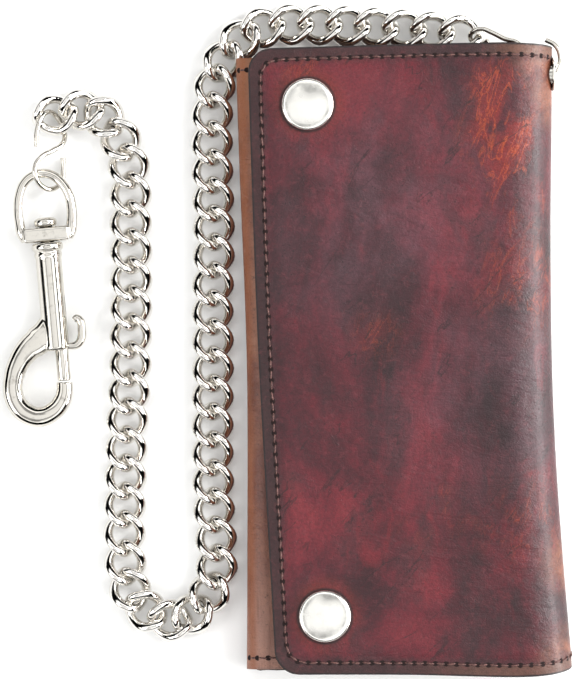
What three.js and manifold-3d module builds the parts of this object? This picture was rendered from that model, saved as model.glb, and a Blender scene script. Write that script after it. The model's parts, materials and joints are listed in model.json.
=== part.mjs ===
// Long leather chain wallet: a three-panel shell with two snaps, card and coin
// pockets inside, a curb chain on an S-hook at the spine, and a bolt snap on a
// swivel eye at the chain's far end. Millimetres. The wallet lies on its back:
// +X runs from the opening edge to the spine, +Y along the wallet, +Z up.
// The origin is the middle of the wallet's flat back.

import * as THREE from 'three';
import { mergeVertices } from 'three/addons/utils/BufferGeometryUtils.js';
import Module from 'manifold-3d';

const wasm = await Module();
wasm.setup();

// ---- driving dimensions ----------------------------------------------------

const GAP = 0.3;                    // air left between pieces that touch

// leather shell
const LEATHER = 2.0;                // shell hide
const LINING = 0.7;                 // thin suede lining
const SPINE_X = 46.0;               // outer face of the spine
const SIDE_X = -47.0;               // outer face of the folded side
const BACK_TOP = 90.6;
const BACK_BOTTOM = -93.0;
const SIDE_TOP = 90.4;
const SIDE_BOTTOM = -90.1;
const FLAP_TOP = 93.9;
const FLAP_BOTTOM = -93.6;
const FLAP_FREE_TOP_X = -44.2;      // the flap's free edge leans a little
const FLAP_FREE_BOTTOM_X = -39.4;
const FLAP_FREE_BOTTOM_Y = -91.6;
const FLAP_HINGE_X = 43.6;          // where the flap's solid starts at the spine
const TAB_HINGE_X = -44.6;          // where the snap tab's solid starts at the side
const TAB_FREE_X = -3.5;
const CORNER_R = 7.0;
const EDGE_INSET = 1.6;             // linings stop short of the shell's edge

// heights of the layers, from the table up
const BACK_LINING_Z = LEATHER + GAP;
const BILL_POCKET_Z = BACK_LINING_Z + LINING + GAP;
const BILL_POCKET_H = 5.0;
const COIN_PANEL_Z = BILL_POCKET_Z + BILL_POCKET_H + GAP;
const COIN_PANEL_T = 1.0;
const TAB_LINING_Z = 10.6;
const TAB_Z = TAB_LINING_Z + LINING + GAP;
const POCKET_Z = 13.5;
const POCKET_T = 0.5;
const POCKET_STEP_Z = 0.75;
const FLAP_LINING_Z = 15.8;
const FLAP_Z = FLAP_LINING_Z + LINING + GAP;
const SPINE_WALL_TOP = 15.2;
const SIDE_WALL_TOP = 10.3;

// pockets
const POCKET_LAYER_RIGHT_X = 36.0;  // inner layers stop short of the spine's bulge
const WALL = 1.0;
const ZIP_X = 20.0;
const ZIP_SLOT_W = 7.2;
const ZIP_LENGTH = 144.0;
const ZIP_TEETH_W = 3.0;
const SLIDER_Y = 64.0;              // slider at its closed end
const CARD_POCKET_LEFT_X = -1.5;
const CARD_POCKET_RIGHT_X = [34.0, 23.0, 12.0];
const CARD_POCKET_HALF_LENGTH = 88.0;

// snaps
const SNAPS = [
  { place: 'upper', x: -26.9, y: 76.8 },
  { place: 'lower', x: -24.4, y: -74.6 },
];
const CAP_R = 7.65;
const CAP_H = 2.4;
const SOCKET_R = 5.1;
const SOCKET_HOLE_R = 2.75;
const STUD_R = 2.05;
const STUD_FLANGE_R = 5.0;
const POST_R = 1.2;
const POST_HOLE_R = 1.6;
const POST_CAP_R = 5.0;

// grommet in the spine
const GROMMET_Y = 85.0;
const GROMMET_Z = 9.0;
const GROMMET_HOLE_R = 2.6;
const GROMMET_TUBE_R = 3.0;
const GROMMET_FLANGE_R = 5.0;
const GROMMET_FLANGE_T = 0.6;

// chain
const LINK_COUNT = 52;
const LINK_PITCH = 8.44;
const LINK_WIDTH = 12.0;
const LINK_WIRE = 2.9;              // nominal wire, sets the link's size
const LINK_WIRE_SOLID = 2.3;        // wire as modelled, leaves play between links
const LINK_TWIST = -45;             // degrees of twist from the middle to each end
const JOIN_R = 1.0;                 // bead that holds two links as one solid
const CHAIN_ROUTE = [
  [23.4, 96.9, 4.2], [15, 98.4, 3.7], [2.3, 99.4, 3.2], [-14, 100.7, 3.2], [-30.5, 101.6, 3.2],
  [-38.8, 101.1, 3.2], [-46.2, 98.8, 3.2], [-51.6, 93.4, 3.2], [-54.2, 86, 3.2],
  [-55.3, 77, 3.2], [-55.7, 60, 3.2], [-55.4, 40, 3.2], [-56.2, 20, 3.2], [-56.4, 0, 3.2],
  [-56.9, -20, 3.2], [-57, -41, 3.2], [-56.6, -53, 3.2], [-56.4, -62.5, 3.2], [-58.3, -69.6, 3.2],
  [-63.2, -75, 3.2], [-70, -76.9, 3.2], [-76.8, -75, 3.2], [-81.7, -69.6, 3.2],
  [-83.5, -62.5, 3.2], [-83.8, -52, 3.2], [-83.3, -38, 3.2], [-82.8, -23, 3.2], [-81.4, -5, 3.2],
  [-80.8, 12, 3.2], [-80.4, 28, 3.2], [-80.4, 44, 3.2], [-80.2, 56, 3.2], [-81.0, 64, 3.2],
  [-84.2, 71.6, 3.2], [-90.2, 77.2, 3.6], [-98.2, 78.4, 4.2], [-106.4, 74.6, 4.6],
];

// S-hooks
const HOOK_WIRE_R = 0.75;
const WALLET_HOOK_ROUTE = [
  [27.5, 95.7, 3.2], [26.0, 94.8, 2.4], [23.9, 95.0, 2.5], [22.1, 96.7, 4.1], [23.0, 98.4, 5.9],
  [25.6, 99.0, 6.8], [28.6, 97.8, 7.2], [32.4, 95.8, 7.8], [35.9, 94.6, 8.6], [37.9, 91.8, 9.0],
  [38.5, 88.0, 9.0], [41.2, 85.1, 9.0], [45.0, 85.0, 9.0], [47.8, 87.0, 9.0], [48.6, 90.2, 9.0],
  [47.2, 93.6, 9.0], [44.3, 95.3, 9.0],
];
const CLIP_HOOK_ROUTE = [
  [-108.0, 66.2, 7.0], [-107.8, 70.2, 7.4], [-106.7, 74.0, 7.2], [-105.1, 76.3, 5.5],
  [-103.4, 76.5, 3.4], [-101.6, 74.7, 1.8], [-100.2, 71.9, 1.4], [-99.6, 69.0, 2.6],
  [-100.6, 66.6, 4.4], [-103.3, 64.9, 6.0], [-106.2, 63.3, 7.4], [-108.2, 60.8, 8.1],
  [-108.3, 57.6, 7.9], [-106.5, 54.4, 5.6], [-103.6, 53.6, 3.3], [-101.0, 55.6, 1.6],
  [-100.3, 59.2, 1.5], [-100.3, 63.0, 1.9],
];

// swivel eye and bolt snap, laid out along the snap's own axis
const SNAP_X = -105.5;              // middle of the swivel joint
const SNAP_Y = 40.0;
const SNAP_Z = 4.8;
const SNAP_LEAN = 4.1;              // degrees the snap leans from the Y axis
const EYE_WIDTH = 15.4;             // between the middles of the eye's two legs
const EYE_WIRE_R = 1.45;
const EYE_LEG = 8.0;
const EYE_BAR_H = 4.2;
const EYE_BAR_T = 5.2;
const NECK_R = 1.7;
const NECK_HOLE_R = 2.1;
const NECK_HEAD_R = 3.5;
const NECK_HEAD_H = 2.8;
const COLLAR_R = 4.7;
const COLLAR_H = 2.8;
const BARREL_R = 3.75;
const BARREL_END = -34.8;           // the barrel's mouth, along the axis
const BORE_R = 2.35;
const BORE_DEPTH = 27.5;
const BOLT_R = 2.0;
const BOLT_TIP = -43.9;
const BOLT_OFFSET = 1.5;            // the bolt runs off the barrel's middle
const BOLT_TOP = -24.0;
const HOOK_T = 3.0;
const SLOT_W = 2.2;
const STUD_STEM_R = 0.8;
const SPRING_R = 1.5;
const SPRING_WIRE_R = 0.3;

// ---- materials -------------------------------------------------------------

const finish = (color, roughness, metalness) =>
  () => new THREE.MeshStandardMaterial({ color, roughness, metalness });
const burgundyLeather = finish(0x5e2a2c, 0.45, 0);
const tanSuede = finish(0x8a5a40, 0.9, 0);
const pocketLeather = finish(0x54302c, 0.6, 0);
const zipperCloth = finish(0x2a1d1b, 0.9, 0);
const nickel = finish(0xd2d2d0, 0.16, 1);
const springSteel = finish(0x9a9a98, 0.3, 1);

// ---- geometry helpers ------------------------------------------------------

function toManifold(geometry) {
  const bare = geometry.clone();
  bare.deleteAttribute('normal');
  bare.deleteAttribute('uv');
  const merged = mergeVertices(bare, 1e-4);
  return new wasm.Manifold(new wasm.Mesh({
    numProp: 3,
    vertProperties: new Float32Array(merged.attributes.position.array),
    triVerts: new Uint32Array(merged.index.array),
  }));
}

function toGeometry(manifold) {
  const mesh = manifold.getMesh();
  const geometry = new THREE.BufferGeometry();
  geometry.setAttribute('position', new THREE.BufferAttribute(mesh.vertProperties, 3));
  geometry.setIndex(new THREE.BufferAttribute(mesh.triVerts, 1));
  geometry.computeVertexNormals();
  return geometry;
}

const join = (...parts) => toGeometry(parts.map(toManifold).reduce((a, b) => a.add(b)));
const cut = (body, ...tools) =>
  toGeometry(tools.map(toManifold).reduce((a, b) => a.subtract(b), toManifold(body)));

// A polygon outline with every corner rounded to its own radius.
function roundedOutline(corners) {
  const shape = new THREE.Shape();
  corners.forEach(([x, y, radius], i) => {
    const here = new THREE.Vector2(x, y);
    const [px, py] = corners[(i + corners.length - 1) % corners.length];
    const [nx, ny] = corners[(i + 1) % corners.length];
    const before = new THREE.Vector2(px, py).sub(here).setLength(radius).add(here);
    const after = new THREE.Vector2(nx, ny).sub(here).setLength(radius).add(here);
    if (i === 0) {
      shape.moveTo(before.x, before.y);
    } else {
      shape.lineTo(before.x, before.y);
    }
    if (radius > 0) {
      shape.quadraticCurveTo(here.x, here.y, after.x, after.y);
    }
  });
  shape.closePath();
  return shape;
}

const rectangle = (x0, x1, y0, y1, radius = 0) =>
  roundedOutline([[x0, y0, radius], [x1, y0, radius], [x1, y1, radius], [x0, y1, radius]]);

// A flat sheet of the outline, from height z up by its thickness.
function sheet(shape, z, thickness) {
  const geometry = new THREE.ExtrudeGeometry(shape, {
    depth: thickness, bevelEnabled: false, curveSegments: 4,
  });
  return geometry.translate(0, 0, z);
}

const box = (x0, x1, y0, y1, z0, z1) =>
  new THREE.BoxGeometry(x1 - x0, y1 - y0, z1 - z0)
    .translate((x0 + x1) / 2, (y0 + y1) / 2, (z0 + z1) / 2);

function upright(radius, x, y, z0, z1, sides = 16) {
  return new THREE.CylinderGeometry(radius, radius, z1 - z0, sides)
    .rotateX(Math.PI / 2)
    .translate(x, y, (z0 + z1) / 2);
}

// A closed ring of revolution from a profile of [radius, height] points.
function turned(profile, sides = 20) {
  const points = profile.map(([r, h]) => new THREE.Vector2(r, h));
  return new THREE.LatheGeometry(points, sides).rotateX(Math.PI / 2);
}

const ringProfile = (inner, outer, z0, z1) =>
  [[inner, z0], [outer, z0], [outer, z1], [inner, z1], [inner, z0]];

function roundSection(radius, sides) {
  const shape = new THREE.Shape();
  for (let i = 0; i < sides; i += 1) {
    const angle = (2 * Math.PI * (i + 0.5)) / sides;
    const x = radius * Math.cos(angle);
    const y = radius * Math.sin(angle);
    if (i === 0) {
      shape.moveTo(x, y);
    } else {
      shape.lineTo(x, y);
    }
  }
  shape.closePath();
  return shape;
}

function wire(route, radius, steps, sides = 8) {
  const path = new THREE.CatmullRomCurve3(route.map((p) => new THREE.Vector3(...p)));
  return new THREE.ExtrudeGeometry(roundSection(radius, sides), {
    steps, bevelEnabled: false, extrudePath: path,
  });
}

const wallet = new THREE.Group();

function add(name, geometry, material, parent = wallet) {
  const mesh = new THREE.Mesh(geometry, material());
  mesh.name = name;
  parent.add(mesh);
  return mesh;
}

// ---- shell: back, spine, folded side, snap tab and flap --------------------

const backShape = roundedOutline([
  [SIDE_X, SIDE_BOTTOM, CORNER_R], [SPINE_X, BACK_BOTTOM, CORNER_R],
  [SPINE_X, BACK_TOP, CORNER_R], [SIDE_X, SIDE_TOP, CORNER_R],
]);
add('shell_back', sheet(backShape, 0, LEATHER), burgundyLeather);

const WALL_END_INSET = 6.0;         // the upright folds stop short of the round corners
add('shell_side', box(SIDE_X, SIDE_X + LEATHER, SIDE_BOTTOM + WALL_END_INSET,
  SIDE_TOP - WALL_END_INSET, LEATHER + GAP, SIDE_WALL_TOP), burgundyLeather);

const acrossSpine = (radius, sides) =>
  new THREE.CylinderGeometry(radius, radius, 4 * LEATHER, sides)
    .rotateZ(Math.PI / 2)
    .translate(SPINE_X - LEATHER / 2, GROMMET_Y, GROMMET_Z);
const spineWall = box(SPINE_X - LEATHER, SPINE_X, BACK_BOTTOM + 1, FLAP_TOP - 1,
  LEATHER + GAP, SPINE_WALL_TOP);
add('shell_spine', cut(spineWall, acrossSpine(GROMMET_TUBE_R + GAP + 0.1, 16)), burgundyLeather);

const flapShape = roundedOutline([
  [FLAP_FREE_BOTTOM_X, FLAP_FREE_BOTTOM_Y, CORNER_R], [FLAP_HINGE_X, FLAP_BOTTOM, 0],
  [FLAP_HINGE_X, FLAP_TOP, 0], [FLAP_FREE_TOP_X, FLAP_TOP, CORNER_R],
]);
const snapHoles = (radius, z0, z1) =>
  SNAPS.map(({ x, y }) => upright(radius, x, y, z0 - 1, z1 + 1, 12));
add('shell_flap', cut(sheet(flapShape, FLAP_Z, LEATHER),
  ...snapHoles(POST_HOLE_R, FLAP_Z, FLAP_Z + LEATHER)), burgundyLeather);

const tabShape = roundedOutline([
  [TAB_HINGE_X, SIDE_BOTTOM, 0], [TAB_FREE_X, SIDE_BOTTOM, CORNER_R],
  [TAB_FREE_X, SIDE_TOP, CORNER_R], [TAB_HINGE_X, SIDE_TOP, 0],
]);
add('shell_tab', cut(sheet(tabShape, TAB_Z, LEATHER),
  ...snapHoles(POST_HOLE_R, TAB_Z, TAB_Z + LEATHER)), burgundyLeather);

// ---- linings ---------------------------------------------------------------

add('back_lining', sheet(rectangle(SIDE_X + LEATHER + GAP, SPINE_X - LEATHER - GAP,
  SIDE_BOTTOM + EDGE_INSET, SIDE_TOP - EDGE_INSET, 5), BACK_LINING_Z, LINING), tanSuede);

const tabLiningShape = rectangle(TAB_HINGE_X + 1, TAB_FREE_X - EDGE_INSET,
  SIDE_BOTTOM + EDGE_INSET, SIDE_TOP - EDGE_INSET, 5);
add('tab_lining', cut(sheet(tabLiningShape, TAB_LINING_Z, LINING),
  ...snapHoles(POST_HOLE_R, TAB_LINING_Z, TAB_LINING_Z + LINING)), tanSuede);

const flapLiningShape = roundedOutline([
  [FLAP_FREE_BOTTOM_X + EDGE_INSET, FLAP_FREE_BOTTOM_Y + EDGE_INSET, 5],
  [FLAP_HINGE_X - 2, FLAP_BOTTOM + EDGE_INSET, 0], [FLAP_HINGE_X - 2, FLAP_TOP - EDGE_INSET, 0],
  [FLAP_FREE_TOP_X + EDGE_INSET, FLAP_TOP - EDGE_INSET, 5],
]);
add('flap_lining', cut(sheet(flapLiningShape, FLAP_LINING_Z, LINING),
  ...snapHoles(SOCKET_R + 2 * GAP, FLAP_LINING_Z, FLAP_LINING_Z + LINING)), tanSuede);

// ---- bill pocket: a shallow tray, open towards the spine -------------------

const TRAY_X0 = TAB_HINGE_X + GAP;
const TRAY_Y0 = SIDE_BOTTOM + 2;
const TRAY_Y1 = SIDE_TOP - 2;
const tray = box(TRAY_X0, POCKET_LAYER_RIGHT_X, TRAY_Y0, TRAY_Y1,
  BILL_POCKET_Z, BILL_POCKET_Z + BILL_POCKET_H);
const billSpace = box(TRAY_X0 + WALL, POCKET_LAYER_RIGHT_X + 1, TRAY_Y0 + WALL, TRAY_Y1 - WALL,
  BILL_POCKET_Z - 1, BILL_POCKET_Z + BILL_POCKET_H - WALL);
add('bill_pocket', cut(tray, billSpace), pocketLeather);

// ---- coin pocket with its zipper -------------------------------------------

const coinPanel = sheet(rectangle(TRAY_X0, POCKET_LAYER_RIGHT_X, TRAY_Y0, TRAY_Y1, 3),
  COIN_PANEL_Z, COIN_PANEL_T);
const zipSlot = box(ZIP_X - ZIP_SLOT_W / 2, ZIP_X + ZIP_SLOT_W / 2, -ZIP_LENGTH / 2,
  ZIP_LENGTH / 2, COIN_PANEL_Z - 1, COIN_PANEL_Z + COIN_PANEL_T + 1);
add('coin_pocket', cut(coinPanel, zipSlot), pocketLeather);

const TAPE_T = 0.5;
const TEETH_H = 0.7;
const TEETH_Z = COIN_PANEL_Z + TAPE_T + GAP;
add('zipper_tape', box(ZIP_X - ZIP_SLOT_W / 2 + GAP, ZIP_X + ZIP_SLOT_W / 2 - GAP,
  -ZIP_LENGTH / 2 + GAP, ZIP_LENGTH / 2 - GAP, COIN_PANEL_Z, COIN_PANEL_Z + TAPE_T), zipperCloth);
add('zipper_teeth', box(ZIP_X - ZIP_TEETH_W / 2, ZIP_X + ZIP_TEETH_W / 2,
  -ZIP_LENGTH / 2 + 3, ZIP_LENGTH / 2 - 3, TEETH_Z, TEETH_Z + TEETH_H), nickel);

// The slider bridges the teeth; a small arch on its back holds the pull.
const SLIDER_W = 6.0;
const SLIDER_L = 8.0;
const SLIDER_Z = TEETH_Z + TEETH_H + GAP;
const SLIDER_T = 0.8;
const ARCH_W = 1.4;
const ARCH_L = 5.6;
const ARCH_H = 2.0;
const ARCH_T = 0.5;
const sliderPlate = box(ZIP_X - SLIDER_W / 2, ZIP_X + SLIDER_W / 2, SLIDER_Y - SLIDER_L / 2,
  SLIDER_Y + SLIDER_L / 2, SLIDER_Z, SLIDER_Z + SLIDER_T);
const sliderLips = [-1, 1].map((side) => {
  const x = ZIP_X + side * (SLIDER_W / 2 - 0.4);
  return box(x - 0.4, x + 0.4, SLIDER_Y - SLIDER_L / 2, SLIDER_Y + SLIDER_L / 2,
    TEETH_Z, SLIDER_Z + 0.2);
});
const archBlock = box(ZIP_X - ARCH_W / 2, ZIP_X + ARCH_W / 2, SLIDER_Y - ARCH_L / 2,
  SLIDER_Y + ARCH_L / 2, SLIDER_Z + SLIDER_T - 0.1, SLIDER_Z + SLIDER_T + ARCH_H);
const archHole = box(ZIP_X - ARCH_W, ZIP_X + ARCH_W, SLIDER_Y - ARCH_L / 2 + ARCH_T,
  SLIDER_Y + ARCH_L / 2 - ARCH_T, SLIDER_Z + SLIDER_T, SLIDER_Z + SLIDER_T + ARCH_H - ARCH_T);
const arch = cut(archBlock, archHole);
add('zipper_slider', join(sliderPlate, ...sliderLips, arch), nickel);

const PULL_T = 0.6;
const PULL_W = 5.0;
const PULL_L = 15.0;
const PULL_BAR = 1.0;
const PULL_Z = SLIDER_Z + SLIDER_T + GAP;
const pullPlate = sheet(rectangle(ZIP_X - PULL_W / 2, ZIP_X + PULL_W / 2,
  SLIDER_Y - PULL_L + PULL_BAR, SLIDER_Y + PULL_BAR, 1.4), PULL_Z, PULL_T);
const pullWindow = box(ZIP_X - ARCH_W / 2 - 0.4, ZIP_X + ARCH_W / 2 + 0.4,
  SLIDER_Y - 4.4, SLIDER_Y, PULL_Z - 1, PULL_Z + PULL_T + 1);
add('zipper_pull', cut(pullPlate, pullWindow), nickel);

// ---- card pockets on the flap's inner face, stepped towards the spine ------

CARD_POCKET_RIGHT_X.forEach((rightX, i) => {
  const z = POCKET_Z + (CARD_POCKET_RIGHT_X.length - 1 - i) * POCKET_STEP_Z;
  add(`card_pocket_${i + 1}`, sheet(rectangle(CARD_POCKET_LEFT_X, rightX,
    -CARD_POCKET_HALF_LENGTH, CARD_POCKET_HALF_LENGTH, 3), z, POCKET_T), pocketLeather);
});

// ---- snaps -----------------------------------------------------------------

const FLAP_TOP_Z = FLAP_Z + LEATHER;
const TAB_TOP_Z = TAB_Z + LEATHER;
SNAPS.forEach(({ place, x, y }) => {
  const capZ = FLAP_TOP_Z + GAP;
  const shaftZ = FLAP_Z + GAP - LEATHER / 10;
  const cap = turned([
    [0, shaftZ], [POST_R, shaftZ], [POST_R, capZ], [CAP_R, capZ], [CAP_R * 0.98, capZ + CAP_H * 0.3],
    [CAP_R * 0.86, capZ + CAP_H * 0.62], [CAP_R * 0.6, capZ + CAP_H * 0.88], [0, capZ + CAP_H],
  ], 16);
  add(`snap_cap_${place}`, cap, nickel).position.set(x, y, 0);

  const socketTop = FLAP_Z - GAP;
  const socketBottom = TAB_TOP_Z + 2 * GAP + 0.5;
  const socket = turned(ringProfile(SOCKET_HOLE_R, SOCKET_R, socketBottom, socketTop));
  add(`snap_socket_${place}`, socket, nickel).position.set(x, y, 0);

  const flangeZ = TAB_TOP_Z + GAP;
  const studTop = FLAP_Z - 2 * GAP;
  const stud = turned([
    [POST_R + GAP, flangeZ], [STUD_FLANGE_R, flangeZ], [STUD_FLANGE_R, flangeZ + 0.4],
    [STUD_R * 0.85, flangeZ + 0.5], [STUD_R, flangeZ + 1.4], [STUD_R * 0.75, studTop],
    [0, studTop], [0, flangeZ + 1.0], [POST_R + GAP, flangeZ + 1.0], [POST_R + GAP, flangeZ],
  ], 16);
  add(`snap_stud_${place}`, stud, nickel).position.set(x, y, 0);

  const postBottom = TAB_LINING_Z - GAP - 0.3;
  const postTop = flangeZ + 0.7;
  const post = turned([
    [0, postBottom], [POST_CAP_R, postBottom], [POST_CAP_R, postBottom + 0.3],
    [POST_R, postBottom + 0.3], [POST_R, postTop], [0, postTop],
  ], 16);
  add(`snap_post_${place}`, post, nickel).position.set(x, y, 0);
});

// ---- grommet through the spine, its axis along X ---------------------------

const grommet = new THREE.Group();
grommet.position.set(SPINE_X, GROMMET_Y, GROMMET_Z);
grommet.rotation.y = Math.PI / 2;
wallet.add(grommet);
const eyeletProfile = [
  [GROMMET_HOLE_R, -LEATHER - 1.4], [GROMMET_TUBE_R, -LEATHER - 1.4], [GROMMET_TUBE_R, GAP],
  [GROMMET_FLANGE_R, GAP], [GROMMET_FLANGE_R - 0.4, GAP + GROMMET_FLANGE_T],
  [GROMMET_TUBE_R, GAP + GROMMET_FLANGE_T], [GROMMET_HOLE_R, GAP + 0.2],
  [GROMMET_HOLE_R, -LEATHER - 1.4],
];
add('grommet_eyelet', turned(eyeletProfile), nickel, grommet);
add('grommet_washer', turned(ringProfile(GROMMET_TUBE_R + GAP, GROMMET_FLANGE_R,
  -LEATHER - GAP - GROMMET_FLANGE_T, -LEATHER - GAP)), nickel, grommet);

// ---- S-hook at the wallet --------------------------------------------------

add('wallet_s_hook', wire(WALLET_HOOK_ROUTE, HOOK_WIRE_R, 38, 6), nickel);

// ---- curb chain ------------------------------------------------------------

// One link lies along X: an oval ring whose ends are twisted about X.
function curbLink() {
  const ringSegments = 14;
  const wireSides = 5;
  const ring = new THREE.TorusGeometry(1, 0.5, wireSides, ringSegments);
  const halfLength = (LINK_PITCH + LINK_WIRE) / 2;
  const halfWidth = (LINK_WIDTH - LINK_WIRE) / 2;
  const twist = THREE.MathUtils.degToRad(LINK_TWIST) / halfLength;
  const position = ring.attributes.position;
  const point = new THREE.Vector3();
  const outward = new THREE.Vector3();
  for (let i = 0; i < position.count; i += 1) {
    point.fromBufferAttribute(position, i);
    const around = Math.atan2(point.y, point.x);
    const offset = (Math.hypot(point.x, point.y) - 1) * LINK_WIRE_SOLID;
    const lift = point.z * LINK_WIRE_SOLID;
    outward.set(halfWidth * Math.cos(around), halfLength * Math.sin(around), 0).normalize();
    point.set(halfLength * Math.cos(around), halfWidth * Math.sin(around), 0);
    const angle = twist * point.x;
    point.addScaledVector(outward, offset).setZ(lift);
    position.setXYZ(i, point.x, point.y * Math.cos(angle) - point.z * Math.sin(angle),
      point.y * Math.sin(angle) + point.z * Math.cos(angle));
  }
  return ring;
}

const chainCurve = new THREE.CatmullRomCurve3(
  CHAIN_ROUTE.map((p) => new THREE.Vector3(...p)), false, 'centripetal');
chainCurve.arcLengthDivisions = 800;
const chainStops = chainCurve.getSpacedPoints(LINK_COUNT);

function placedLink(index) {
  const from = chainStops[index];
  const to = chainStops[index + 1];
  const along = to.clone().sub(from).normalize();
  const across = new THREE.Vector3(0, 0, 1).cross(along).normalize();
  const up = along.clone().cross(across);
  const placing = new THREE.Matrix4().makeBasis(along, across, up);
  placing.setPosition(from.clone().add(to).multiplyScalar(0.5));
  return curbLink().applyMatrix4(placing);
}

for (let first = 0; first < LINK_COUNT; first += 2) {
  const middle = chainStops[first + 1];
  const bead = new THREE.IcosahedronGeometry(JOIN_R, 0).translate(middle.x, middle.y, middle.z);
  const number = String(first / 2 + 1).padStart(2, '0');
  add(`chain_links_${number}`, join(placedLink(first), placedLink(first + 1), bead), nickel);
}

// ---- S-hook at the snap ----------------------------------------------------

add('clip_s_hook', wire(CLIP_HOOK_ROUTE, HOOK_WIRE_R, 38, 6), nickel);

// ---- swivel eye and bolt snap ----------------------------------------------

// In this group +Y points along the snap's axis towards the eye.
const snap = new THREE.Group();
snap.position.set(SNAP_X, SNAP_Y, SNAP_Z);
snap.rotation.z = THREE.MathUtils.degToRad(SNAP_LEAN);
wallet.add(snap);

const alongAxis = (radius, y0, y1, sides = 16, x = 0) =>
  new THREE.CylinderGeometry(radius, radius, y1 - y0, sides).translate(x, (y0 + y1) / 2, 0);

function swivelEye() {
  const half = EYE_WIDTH / 2;
  const bow = [[-half, 0, 0], [-half - 0.2, EYE_LEG * 0.5, 0], [-half + 0.3, EYE_LEG, 0]];
  for (let i = 1; i < 6; i += 1) {
    const angle = Math.PI * (1 - i / 6);
    bow.push([(half - 0.3) * Math.cos(angle), EYE_LEG + 9.4 * Math.sin(angle), 0]);
  }
  bow.push([half - 0.3, EYE_LEG, 0], [half + 0.2, EYE_LEG * 0.5, 0], [half, 0, 0]);
  const ring = wire(bow, EYE_WIRE_R, 22);
  const bar = box(-half - EYE_WIRE_R * 0.6, half + EYE_WIRE_R * 0.6, -EYE_BAR_H / 2,
    EYE_BAR_H / 2, -EYE_BAR_T / 2, EYE_BAR_T / 2);
  const neckHole = alongAxis(NECK_HOLE_R, -EYE_BAR_H, EYE_BAR_H, 16);
  return cut(join(ring, bar), neckHole);
}
add('swivel_eye', swivelEye(), nickel, snap);

// The snap's body: head, neck, collar, barrel with its bore and slot, and the
// hook that sweeps from the barrel's side round to the bolt's tip.
const HEAD_Y = EYE_BAR_H / 2 + GAP;
const COLLAR_Y = -EYE_BAR_H / 2 - GAP;
const BARREL_TOP = COLLAR_Y - COLLAR_H;

function snapBody() {
  const head = alongAxis(NECK_HEAD_R, HEAD_Y, HEAD_Y + NECK_HEAD_H, 14);
  const neck = alongAxis(NECK_R, COLLAR_Y - 1, HEAD_Y + 1, 12);
  const collar = alongAxis(COLLAR_R, BARREL_TOP - 0.2, COLLAR_Y, 16);
  const barrel = alongAxis(BARREL_R, BARREL_END, BARREL_TOP, 16);
  const hook = wire([
    [-1.2, BARREL_END + 6.5, 0], [-5.4, BARREL_END + 0.8, 0], [-10.2, BARREL_END - 4.6, 0],
    [-12.6, BARREL_END - 10.6, 0], [-11.2, BARREL_END - 16.6, 0], [-6.6, BARREL_END - 20.2, 0],
    [-1.4, BARREL_END - 18.8, 0], [1.3, BARREL_END - 14.2, 0], [BOLT_OFFSET, BOLT_TIP - GAP, 0],
  ], HOOK_T, 24);
  const bore = alongAxis(BORE_R, BARREL_END - 0.5, BARREL_END + BORE_DEPTH, 14, BOLT_OFFSET);
  const mouth = box(BOLT_OFFSET - HOOK_T, BOLT_OFFSET + 2 * HOOK_T, BOLT_TIP - GAP + 0.02,
    BARREL_END, -2 * HOOK_T, 2 * HOOK_T);
  const slot = box(BOLT_OFFSET, 3 * HOOK_T, BARREL_END - 0.5, BARREL_END + 16.5,
    -SLOT_W / 2, SLOT_W / 2);
  return cut(join(head, neck, collar, barrel, hook), bore, mouth, slot);
}
add('snap_body', snapBody(), nickel, snap);

// The bolt slides in the bore and carries the curled thumb stud.
const STUD_Y = BARREL_END + 2.2;
function thumbBolt() {
  const rod = alongAxis(BOLT_R, BOLT_TIP, BOLT_TOP, 14, BOLT_OFFSET);
  const stem = new THREE.CylinderGeometry(STUD_STEM_R, STUD_STEM_R, 6.4, 8)
    .rotateZ(Math.PI / 2)
    .translate(BOLT_OFFSET + 3.2, STUD_Y, 0);
  const thumb = wire([
    [5.6, STUD_Y, 0], [7.6, STUD_Y + 0.8, 0], [8.9, STUD_Y + 3.2, 0], [9.0, STUD_Y + 6.2, 0],
    [7.6, STUD_Y + 8.4, 0],
  ], 1.3, 8, 7);
  return join(rod, stem, thumb);
}
add('thumb_bolt', thumbBolt(), nickel, snap);

// The return spring stands between the bolt's top and the bore's blind end.
function boltSpring() {
  const turns = 5;
  const stepsPerTurn = 8;
  const bottom = BOLT_TOP + GAP + SPRING_WIRE_R;
  const top = BARREL_END + BORE_DEPTH - GAP - SPRING_WIRE_R;
  const route = [];
  for (let i = 0; i <= turns * stepsPerTurn; i += 1) {
    const angle = (2 * Math.PI * i) / stepsPerTurn;
    const y = bottom + ((top - bottom) * i) / (turns * stepsPerTurn);
    route.push([BOLT_OFFSET + SPRING_R * Math.cos(angle), y, SPRING_R * Math.sin(angle)]);
  }
  return wire(route, SPRING_WIRE_R, turns * stepsPerTurn, 5);
}
add('bolt_spring', boltSpring(), springSteel, snap);

export default wallet;
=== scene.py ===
# A long leather chain wallet: an oiled burgundy hide folded round a coin and bill
# section, held shut by two snaps, with a nickel curb chain from the eyelet in its
# spine to a bolt snap on a swivel eye. Sizes in the code are millimetres.

import json
import math
import random

import bpy
from mathutils import Matrix, Vector, noise


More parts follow.
